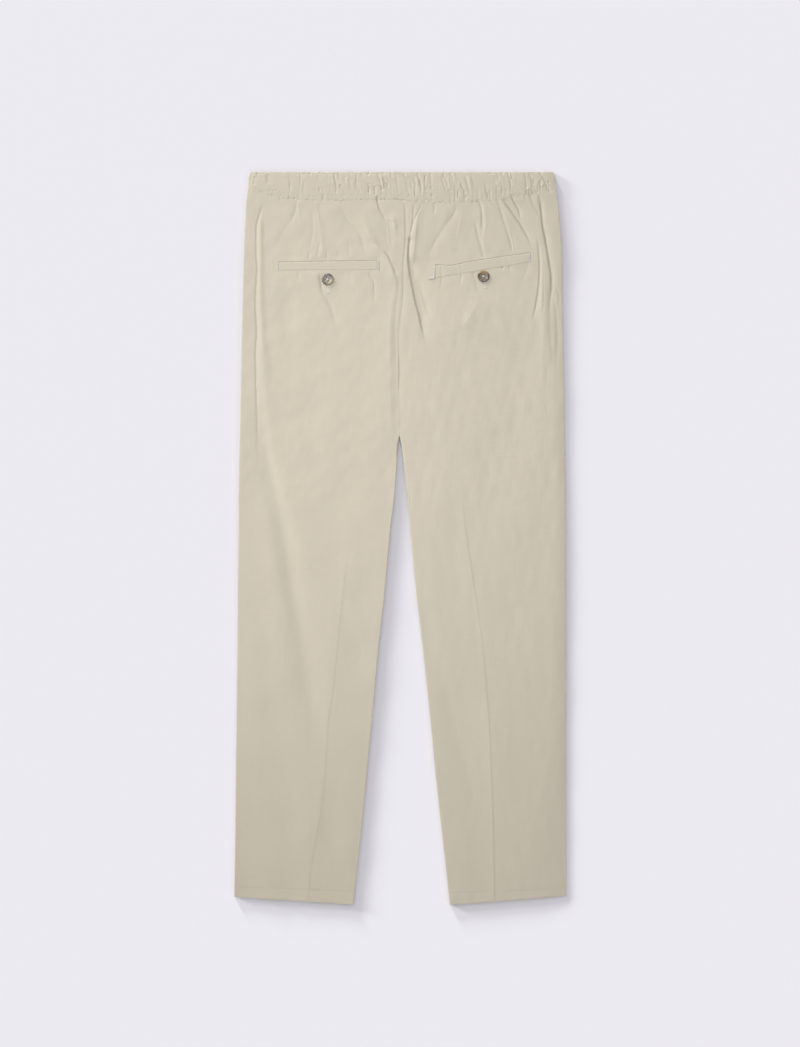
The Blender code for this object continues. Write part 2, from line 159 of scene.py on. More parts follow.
def foldHeight(x, down, fold):
    # a trough or ridge along a path, with its own width on each side; softness 2 is round, 1 is creased
    height, left, right, softness, widen, fadeIn, fadeOut, points = fold
    path = smoothPath(points)
    shift = foldShape["troughShift"] if height < 0 else foldShape["ridgeShift"]
    shift = shift + shift * left
    reach = foldShape["reach"] * max(left, right) * max(widen, 1.0)
    made = np.zeros(x.shape)
    near = ((x > path[:, 0].min() - reach) & (x < path[:, 0].max() + reach)
            & (down > path[:, 1].min() - reach) & (down < path[:, 1].max() + reach))
    if not near.any():
        return made
    away, along, side = pathDistance(x[near], down[near], path)
    offset = away * side - shift
    width = np.where(offset > 0, right, left) * (1.0 + (widen - 1.0) * along)
    fade = eased(along / max(fadeIn, 1e-6)) * eased((1.0 - along) / max(fadeOut, 1e-6))
    made[near] = height * fade * bell(offset, width, softness)
    return made


# what pressing left in the cloth: height, wavelength, and the left leg's seed; the right leg's is the next
unevenness = ((0.27, 60.0, 3), (0.13, 24.0, 5), (0.032, 10.0, 7))


def slowWaves(x, down, seed, wavelength, count=14):
    # the slight unevenness that pressed linen keeps, as waves in seeded directions
    draw = np.random.default_rng(seed)
    made = np.zeros(np.shape(x))
    for _ in range(count):
        angle = draw.uniform(0, math.pi)
        length = wavelength * draw.uniform(0.6, 1.8)
        phase = draw.uniform(0, 2 * math.pi)
        made += np.sin((x * math.cos(angle) + down * math.sin(angle) * 0.6) * 2 * math.pi / length + phase)
    return made / math.sqrt(count)


# The folds of the back pieces, listed one by one.
# Each fold: height, half width on its left and on its right, softness, how much wider it is at its end,
# the shares of its length over which it comes in and fades out, then its path as (x, down).
backFolds = {
    # along the left side
    "sideGroove": (-0.91, 0.9, 3, 1.3, 1.5, 0.06, 0.35, [
        (-186.2, 38), (-189.9, 50.6), (-194.1, 64.3), (-196.3, 76.4), (-196.6, 95), (-196.4, 113),
        (-195.2, 133), (-197, 159), (-197.5, 186), (-196.3, 204), (-196, 222), (-197.5, 250),
        (-196.2, 311), (-194.7, 372), (-192.2, 420)]),
    "sideRidge": (1.01, 3, 3.1, 1.8, 1.9, 0.12, 0.3, [
        (-187.3, 46), (-190.3, 60), (-191.4, 80), (-191.2, 110), (-191.4, 140), (-191.2, 175),
        (-189.8, 205), (-187.8, 235), (-184.8, 265), (-180.8, 304)]),
    # from the waist seam to the left pocket
    "hipTuck": (-0.41, 4.6, 5.5, 1.2, 1.4, 0.2, 0.3, [
        (-143.9, 40), (-144.9, 50), (-148.1, 60), (-153.8, 69), (-161.3, 80.5), (-166.7, 91),
        (-170.2, 101), (-172.2, 109)]),
    "hipTuckLine": (-0.31, 0.9, 2.5, 1.2, 1, 0.05, 0.3, [
        (-142, 34), (-142.5, 43), (-143.7, 54), (-147.3, 63), (-151.8, 70)]),
    "hipStrip": (0.31, 1.2, 3.3, 1.4, 1, 0.1, 0.4, [
        (-139.1, 38), (-138.6, 50), (-137.6, 64), (-137.1, 80)]),
    "pocketRidge": (0.42, 2.6, 2.9, 1.25, 1.1, 0.08, 0.2, [
        (-114.9, 36), (-114, 45), (-111.8, 63), (-108.5, 79.5), (-107, 100), (-106.8, 119)]),
    "pocketRidgeFoot": (-0.28, 2.4, 4.3, 1.3, 1.3, 0.15, 0.45, [
        (-114.5, 44), (-112, 53), (-106, 66), (-100, 77), (-96, 88)]),
    "pocketRidgeSide": (-0.4, 2.6, 1.4, 1.4, 1, 0.2, 0.3, [
        (-120.6, 50), (-120.1, 66), (-119.6, 82), (-122.6, 97), (-125.6, 112)]),
    "tickA": (-0.15, 1.2, 2.1, 1.3, 1, 0.3, 0.2, [(-132.1, 97), (-133.3, 106), (-133.5, 119)]),
    "tickB": (-0.58, 1.2, 2.9, 1.3, 1, 0.3, 0.2, [(-125.2, 108), (-125.2, 120)]),
    "tickC": (-0.49, 1.2, 2.4, 1.3, 1, 0.3, 0.2, [(-110.1, 93), (-111.8, 105), (-114.3, 117)]),
    "tickD": (-0.45, 1.2, 1.6, 1.3, 1, 0.3, 0.2, [(-100.5, 105), (-100.5, 120)]),
    "tickE": (-0.33, 1.2, 1.3, 1.3, 1, 0.3, 0.2, [(-70.9, 90), (-70.6, 104), (-70.4, 117)]),
    "tickF": (-0.26, 1.2, 1.7, 1.3, 1, 0.3, 0.2, [(-85.3, 108), (-84.8, 120)]),
    "seatTrough": (-0.8, 2.8, 4.5, 1.35, 0.8, 0.2, 0.3, [
        (-82.4, 46), (-80.4, 53), (-75.5, 62.5), (-68.2, 72.5), (-60.6, 80.5), (-55.5, 88), (-52.4, 97),
        (-50.4, 107), (-48.8, 118)]),
    "seatTroughLine": (-0.17, 0.9, 0.9, 1.2, 1, 0.2, 0.2, [
        (-60.5, 79.5), (-54.4, 87), (-50.1, 96), (-48.1, 107), (-47.4, 119)]),
    # the long ridge from the waist down beside the centre seam
    "seatRidge": (1.4, 7.5, 5, 1.3, 0.9, 0.35, 0.3, [
        (-51.5, 44), (-52.5, 56), (-50.5, 66), (-46.5, 77), (-43.1, 86), (-37.6, 92), (-34.6, 98),
        (-32.1, 104), (-24.7, 110), (-21.1, 116), (-16.1, 123), (-13.5, 131), (-11.5, 141), (-8, 151),
        (-8, 163), (-10, 178)]),
    "seatRidgeStep": (-1.35, 0.9, 3.6, 1.3, 1, 0.15, 0.15, [
        (-39.7, 94), (-30.2, 101.5), (-22.5, 107.5), (-16.8, 115), (-12.7, 125), (-8.2, 135),
        (-3.8, 143)]),
    "seatRidgeEnd": (0.31, 3, 3.1, 1.4, 1.6, 0.2, 0.3, [
        (-7.4, 148), (-9.4, 165), (-11.9, 185), (-14.4, 205), (-14.4, 240), (-14.4, 280)]),
    "seatRidgeFoot": (-0.3, 2, 3.4, 1.4, 1.4, 0.2, 0.4, [
        (-8.3, 128), (-4.5, 142), (-3.7, 159), (-5.7, 181.4), (-8.5, 204), (-7.9, 227), (-6.5, 250),
        (-8.3, 300)]),
    "yokeCrease": (-1.25, 0.8, 3.4, 1.15, 0.8, 0.03, 0.3, [
        (-32.3, 33), (-31.7, 38.5), (-29.5, 48), (-25.5, 57), (-20.5, 65), (-17, 71)]),
    "yokeCreaseLow": (0.4, 1.1, 1.1, 1.3, 1, 0.15, 0.3, [
        (-17.2, 71), (-16.2, 82), (-15.4, 93), (-13, 106)]),
    "yokeBump": (0.83, 2.2, 3.1, 1.6, 1, 0.3, 0.5, [(-14, 58), (-10.5, 66), (-7.4, 76), (-6.8, 88)]),
    "yokeStep": (-0.6, 0.8, 1.2, 1.3, 1, 0.2, 0.3, [(-17.5, 68), (-13.6, 68.5), (-9.4, 72)]),
    "seamHook": (-0.7, 0.8, 1, 1.3, 1, 0.15, 0.2, [
        (-7.1, 37.8), (-2.5, 38.6), (1, 41.5), (5.5, 45), (7.9, 46)]),
    # the centre seam
    "centreRise": (0.5, 5, 7.9, 1.7, 1, 0.2, 0.3, [(-11.6, 50), (-9.6, 70), (-8.6, 90), (-6.6, 115)]),
    "centreSeam": (-0.6, 1.2, 2.8, 1.3, 1, 0.04, 0.35, [
        (4.5, 41), (6.2, 50), (6.6, 60), (6.6, 72), (7.2, 84), (6.4, 98), (5.6, 110), (4.2, 120),
        (3.8, 132), (3.8, 150), (3.6, 165), (2.4, 180), (0.9, 193), (-0.3, 207), (-1.2, 218),
        (-1.2, 232)]),
    "centreSeamLow": (-0.1, 1.2, 2.2, 1.4, 1.2, 0.3, 0.03, [
        (0.7, 200), (-0.8, 215), (-1.4, 235), (-1.6, 260), (-1.4, 300), (0.4, 350)]),
    # the strongest fold, right of the centre seam
    "centreFold": (-2.6, 0.8, 3.7, 1.2, 1, 0.12, 0.25, [
        (13.3, 86), (12.1, 93), (11.1, 106), (10.8, 118), (12.5, 131), (15.2, 149.6)]),
    "centreFoldLow": (-3.4, 0.8, 11, 1.2, 1, 0.15, 0.35, [
        (11, 112), (11.4, 122), (12.7, 131), (14.1, 141), (15.7, 150), (17.4, 160), (19.5, 170),
        (21.8, 180), (24.5, 190), (26.8, 200), (28.7, 210), (31.5, 222), (35.5, 235)]),
    "centreFoldBulge": (0.77, 2.5, 6.4, 1.4, 1, 0.2, 0.3, [
        (21.8, 62), (18.3, 74), (16, 88), (14.8, 102), (14.4, 116), (15.8, 130)]),
    "centreFoldLip": (0.49, 2, 1.8, 1.3, 1, 0.1, 0.4, [
        (30.3, 45), (24.7, 57), (22.2, 68), (20.7, 84), (19.5, 101), (17.2, 118), (16.7, 131),
        (19.2, 150), (23.2, 172)]),
    "centreFoldFeeder": (-0.58, 0.9, 2, 1.3, 1, 0.15, 0.2, [
        (18.6, 42), (17.7, 50), (17.3, 60), (16.7, 70), (14.4, 80), (12.4, 90)]),
    "centreFoldStart": (-0.56, 0.9, 2, 1.3, 1, 0.15, 0.1, [
        (29.5, 42), (26.5, 50), (22.4, 58), (18, 68), (15.2, 79), (13.2, 90), (12, 98)]),
    # across to the right pocket
    "slantFold": (-0.65, 2.4, 4.5, 1.2, 1.3, 0.12, 0.3, [
        (75.1, 41), (74.6, 50), (70.9, 59), (64.8, 67), (58.3, 76), (52.4, 85), (46.9, 94), (42.5, 103.5),
        (39, 112), (36, 120)]),
    "slantFoldSide": (0.12, 7, 8.5, 1.8, 1, 0.2, 0.4, [
        (82, 44), (78, 60), (70, 76), (61, 92), (54, 108)]),
    "slantTick": (-0.7, 1.4, 1.3, 1.4, 1, 0.1, 0.4, [(45.8, 41), (46.8, 50), (44.8, 58)]),
    "slantStrip": (0.34, 1.4, 2.5, 1.4, 1, 0.3, 0.3, [(83.8, 46), (82.8, 62), (79.8, 80), (78.8, 93)]),
    "pleatA": (-1.1, 1.0, 2.2, 1.2, 1, 0.2, 0.3, [
        (105, 34), (106.1, 38.5), (109.6, 47.6), (111.2, 56), (111.4, 68), (110.7, 82)]),
    "pleatARidge": (0.51, 1.8, 3.9, 1.3, 1, 0.1, 0.2, [
        (112.7, 42), (114.7, 50), (116.2, 62), (116, 76), (113.3, 88), (114.1, 98), (117.2, 112)]),
    "pleatB": (-0.89, 1.6, 2.7, 1.25, 1, 0.2, 0.1, [
        (101.7, 64), (103, 76.4), (105.3, 87), (109.1, 100.7), (112.1, 112.8), (114.4, 121)]),
    "hipPleat": (-1, 2.2, 1.7, 1.2, 0.9, 0.1, 0.12, [
        (131.2, 36), (133.7, 44), (137.2, 55), (141.2, 68), (145.2, 80), (149, 92), (151.2, 102),
        (152, 111)]),
    "hipPleatStart": (-0.35, 1.2, 2, 1.3, 1, 0.2, 0.3, [(119, 38), (124, 41), (129, 46), (132, 53)]),
    "hipPleatLine": (-0.5, 0.9, 1.4, 1.2, 1, 0.3, 0.1, [
        (151, 78), (153.3, 89), (155.5, 99), (157.5, 108)]),
    "hipPleatRise": (0.21, 5, 3.8, 1.5, 1, 0.2, 0.3, [(140.5, 56), (146.5, 70), (152.5, 84)]),
    "hipCrease": (-2.2, 0.75, 3.0, 1.15, 1.6, 0.18, 0.35, [
        (136.8, 33), (139.2, 37.7), (144.6, 44.6), (152.2, 55.2), (161.2, 67.3), (167.3, 77.9),
        (173.3, 88.5), (177, 97.6), (178.2, 107)]),
    "hipCreaseTwo": (-1.5, 0.9, 1.7, 1.2, 1.3, 0.1, 0.45, [
        (150.3, 29), (151.8, 33.2), (155.5, 41.5), (160.9, 50.6), (163.4, 61), (164.3, 70)]),
    "hipSoft": (-0.69, 2.6, 2.2, 1.6, 1, 0.1, 0.2, [
        (177, 29), (177.7, 34), (180.2, 43), (185.8, 53.5), (190.8, 61)]),
    # the drop along the right side and the flap beside it
    "sideDrop": (-2.26, 1.3, 3.3, 1.25, 1.3, 0.16, 0.3, [
        (187.2, 25), (188.1, 31), (190.4, 41.5), (192.7, 58.2), (194.3, 74), (197.9, 91.6), (201, 110),
        (203.7, 126.8), (205.5, 139), (205.9, 152), (205.7, 163), (203.7, 180), (202.7, 196)]),
    "sideHip": (1.0, 6, 16, 1.7, 1, 0.25, 0.3, [
        (189.6, 120), (191.6, 150), (193.6, 180), (194.6, 210), (193.6, 250), (191.6, 300)]),
    "sideDropBranch": (-0.6, 2.2, 2.5, 1.4, 1.5, 0.2, 0.4, [
        (206.8, 160), (209, 175), (211.8, 190), (213.4, 210), (212.8, 235), (211.8, 262), (213.3, 292)]),
    "sideDropEdge": (-0.4, 0.9, 1.6, 1.3, 1, 0.2, 0.4, [
        (209, 150), (213, 160), (216.5, 172), (216, 190)]),
    "sideDropFoot": (-0.7, 3, 3.8, 1.6, 1.2, 0.15, 0.4, [
        (202.1, 150), (202.8, 172), (202.6, 198), (204.1, 225), (206.1, 252), (204.1, 280)]),
    "sideDropFar": (-0.25, 1.6, 2.2, 1.4, 1, 0.3, 0.4, [(198.5, 262), (199.5, 278), (198, 294)]),
    "sideDropLast": (-0.3, 2, 3.1, 1.4, 1, 0.3, 0.4, [(214.5, 215), (215.3, 240), (213.5, 262)]),
    "sideFlap": (-1.2, 0.8, 3.1, 1.2, 1.2, 0.15, 0.3, [
        (185.8, 88), (187.7, 100), (189.1, 112), (189.9, 125), (189.6, 143), (188.4, 158), (186.3, 173),
        (183.9, 187), (180.5, 199), (175.7, 211)]),
    "sideFlapLine": (-0.32, 0.8, 1.1, 1.3, 1, 0.3, 0.2, [
        (194, 128), (195, 150), (195.3, 175), (194.2, 198)]),
    "sideFlapRidge": (0.39, 2, 1.7, 1.4, 1.3, 0.15, 0.3, [
        (191.4, 96), (193.4, 118), (193.8, 140), (193.6, 160), (192.2, 178), (190.8, 196), (188.4, 212)]),
    # about the pockets
    "buttonCrease": (-1.13, 1.9, 3.9, 1.4, 1.7, 0.15, 0.5, [
        (-111.6, 135), (-110.8, 140), (-109, 148), (-106.9, 163.2), (-100.6, 173.8), (-94.4, 186),
        (-91.3, 198), (-86.7, 212), (-83.7, 226)]),
    "pocketEndCrease": (-0.78, 1.4, 1.6, 1.3, 1, 0.15, 0.5, [
        (-43.4, 134.5), (-40.8, 143.5), (-36.4, 149.8), (-35.8, 166), (-35.5, 182)]),
    "pocketStartSoft": (-0.2, 4, 4.2, 1.6, 1.5, 0.2, 0.5, [
        (-163, 137), (-157, 150), (-153, 170), (-150, 190), (-146, 212)]),
    "pocketNickA": (-0.41, 1.2, 2.3, 1.4, 1, 0.2, 0.5, [(-140.3, 135), (-139.3, 145), (-139.8, 152)]),
    "pocketNickB": (-0.15, 1.2, 1.4, 1.4, 1, 0.2, 0.5, [(-69, 134), (-68.5, 145), (-68.5, 160)]),
    "rightNickA": (-0.38, 1.2, 1.7, 1.3, 1, 0.1, 0.5, [(56, 142), (55.6, 152), (52.6, 164)]),
    "rightNickB": (-0.52, 1.4, 1.7, 1.3, 1, 0.1, 0.5, [(83.5, 137), (82.5, 146), (80.5, 158)]),
    "rightNickC": (-0.7, 2.2, 3.7, 1.4, 1, 0.2, 0.4, [
        (97.3, 134), (100.8, 145), (104.3, 156), (108.3, 168)]),
    "rightNickD": (-1.9, 1.2, 1.2, 1.3, 1, 0.1, 0.5, [(138.1, 124), (139.6, 134)]),
    "rightNickE": (-0.96, 1.2, 1.6, 1.3, 1, 0.1, 0.5, [(146.4, 124), (149.4, 132), (151.4, 138)]),
    "rightEndSoft": (-0.25, 2.4, 3, 1.5, 1, 0.15, 0.5, [
        (174.4, 122), (172.3, 131), (167.3, 143), (164.4, 158)]),
    "rightStartSoft": (-1.0, 2.4, 4.3, 1.5, 1.4, 0.2, 0.4, [
        (20.9, 142), (24.9, 156), (30.9, 172), (36.4, 188), (41.9, 203)]),
    # the legs
    "sideTuckMark": (-0.22, 1.2, 2.2, 1.3, 1, 0.3, 0.3, [(199.5, 314), (200.5, 340)]),
    "innerMark": (-0.35, 1.2, 1.4, 1.3, 1, 0.3, 0.3, [(12.6, 434), (13.3, 448), (11.9, 461)]),
    "shinWrinkle": (0.5, 1.6, 2.2, 1.4, 1, 0.3, 0.4, [
        (-218, 903.5), (-208, 903), (-196, 900), (-186, 897)]),
}

# The broad forms that the folded cloth keeps, in the same terms.
broadFolds = {
    "sideSwell": (1.5, 5, 20, 1.6, 1, 0.15, 0.35, [(-220, 50), (-221, 200), (-223.5, 400), (-225, 620)]),
    "thighTrough": (-2.2, 14, 14, 1.7, 1.1, 0.2, 0.25, [
        (-203, 310), (-196.7, 360), (-185.3, 400), (-176.2, 440), (-167.3, 480), (-160.7, 520),
        (-154.2, 560), (-147.7, 600), (-140.7, 640), (-133.7, 680), (-127, 720), (-121, 775)]),
    "thighBank": (1.0, 16, 11, 1.7, 1.1, 0.3, 0.4, [
        (-199, 400), (-192, 440), (-184, 480), (-177, 520), (-170, 560), (-162, 600), (-155, 640),
        (-147, 680)]),
    "thighRidge": (1.2, 7, 12, 1.6, 1.5, 0.15, 0.35, [
        (-199, 205), (-194, 240), (-188, 280), (-182.5, 320), (-178, 360), (-170, 400), (-159, 440),
        (-147, 480), (-135, 520), (-120, 560), (-107, 600)]),
    "crotchRise": (0.9, 20, 6, 1.7, 1, 0.3, 0.3, [
        (-17, 170), (-20.5, 220), (-20.5, 260), (-19.5, 300), (-18.5, 345), (-17, 400)]),
    "seatFacet": (1.3, 12, 25, 1.05, 1, 0.5, 0.2, [
        (103, 157), (102.8, 171), (101, 180), (96.5, 187.5), (92, 196), (86.5, 205), (80.5, 214)]),
    "thighCrest": (1.1, 26, 22, 1.9, 1, 0.3, 0.3, [
        (47, 215), (49, 260), (52, 320), (54, 380), (52, 440), (50, 520)]),
    "thighHollow": (-0.8, 34, 22, 1.9, 1, 0.3, 0.3, [(142, 200), (141, 270), (140, 340), (144, 420)]),
    "innerShin": (-1.2, 19, 21, 1.9, 1, 0.15, 0.3, [
        (16, 592), (28, 640), (39.5, 680), (53, 720), (67, 760), (80, 800), (91, 840), (98, 890)]),
    "hemSlopeLeft": (0.9, 20, 16, 1.8, 1, 0.3, 0.3, [(-113, 800), (-117, 860), (-122, 920)]),
    "shinSlopeRight": (0.7, 24, 30, 1.9, 1, 0.3, 0.3, [(138, 700), (139, 780), (139, 860), (140, 940)]),
    "seatHollow": (-0.5, 10, 14, 1.8, 1, 0.3, 0.3, [(-163, 150), (-161, 200), (-157, 240), (-150, 275)]),
    "kneeDip": (-0.5, 5, 6, 1.6, 1, 0.3, 0.4, [(94, 560), (98, 590), (102, 615), (104, 640)]),
}

# the pressed crease of each leg: its path, and a ridge with a soft left side and a sharp right one
creases = {
    "left": [
        (-70, 505), (-72.5, 523), (-82, 607), (-91, 697), (-98, 748), (-102.5, 816), (-109, 875),
        (-120.5, 939), (-128.5, 1003)],
    "right": [
        (82, 430), (86, 452), (91, 493), (100, 553), (107, 602), (112.5, 638), (116, 675), (121.5, 738),
        (125, 806), (127.5, 880), (129, 939), (129.8, 1003)],
}
creaseShape = {"height": {"left": 0.27, "right": 0.46}, "offset": {"left": 3.4, "right": 4.9}, "steep": 1.5,
               "gentle": 11.0, "softness": 1.3, "fadeIn": 0.12, "fadeOut": 0.01}
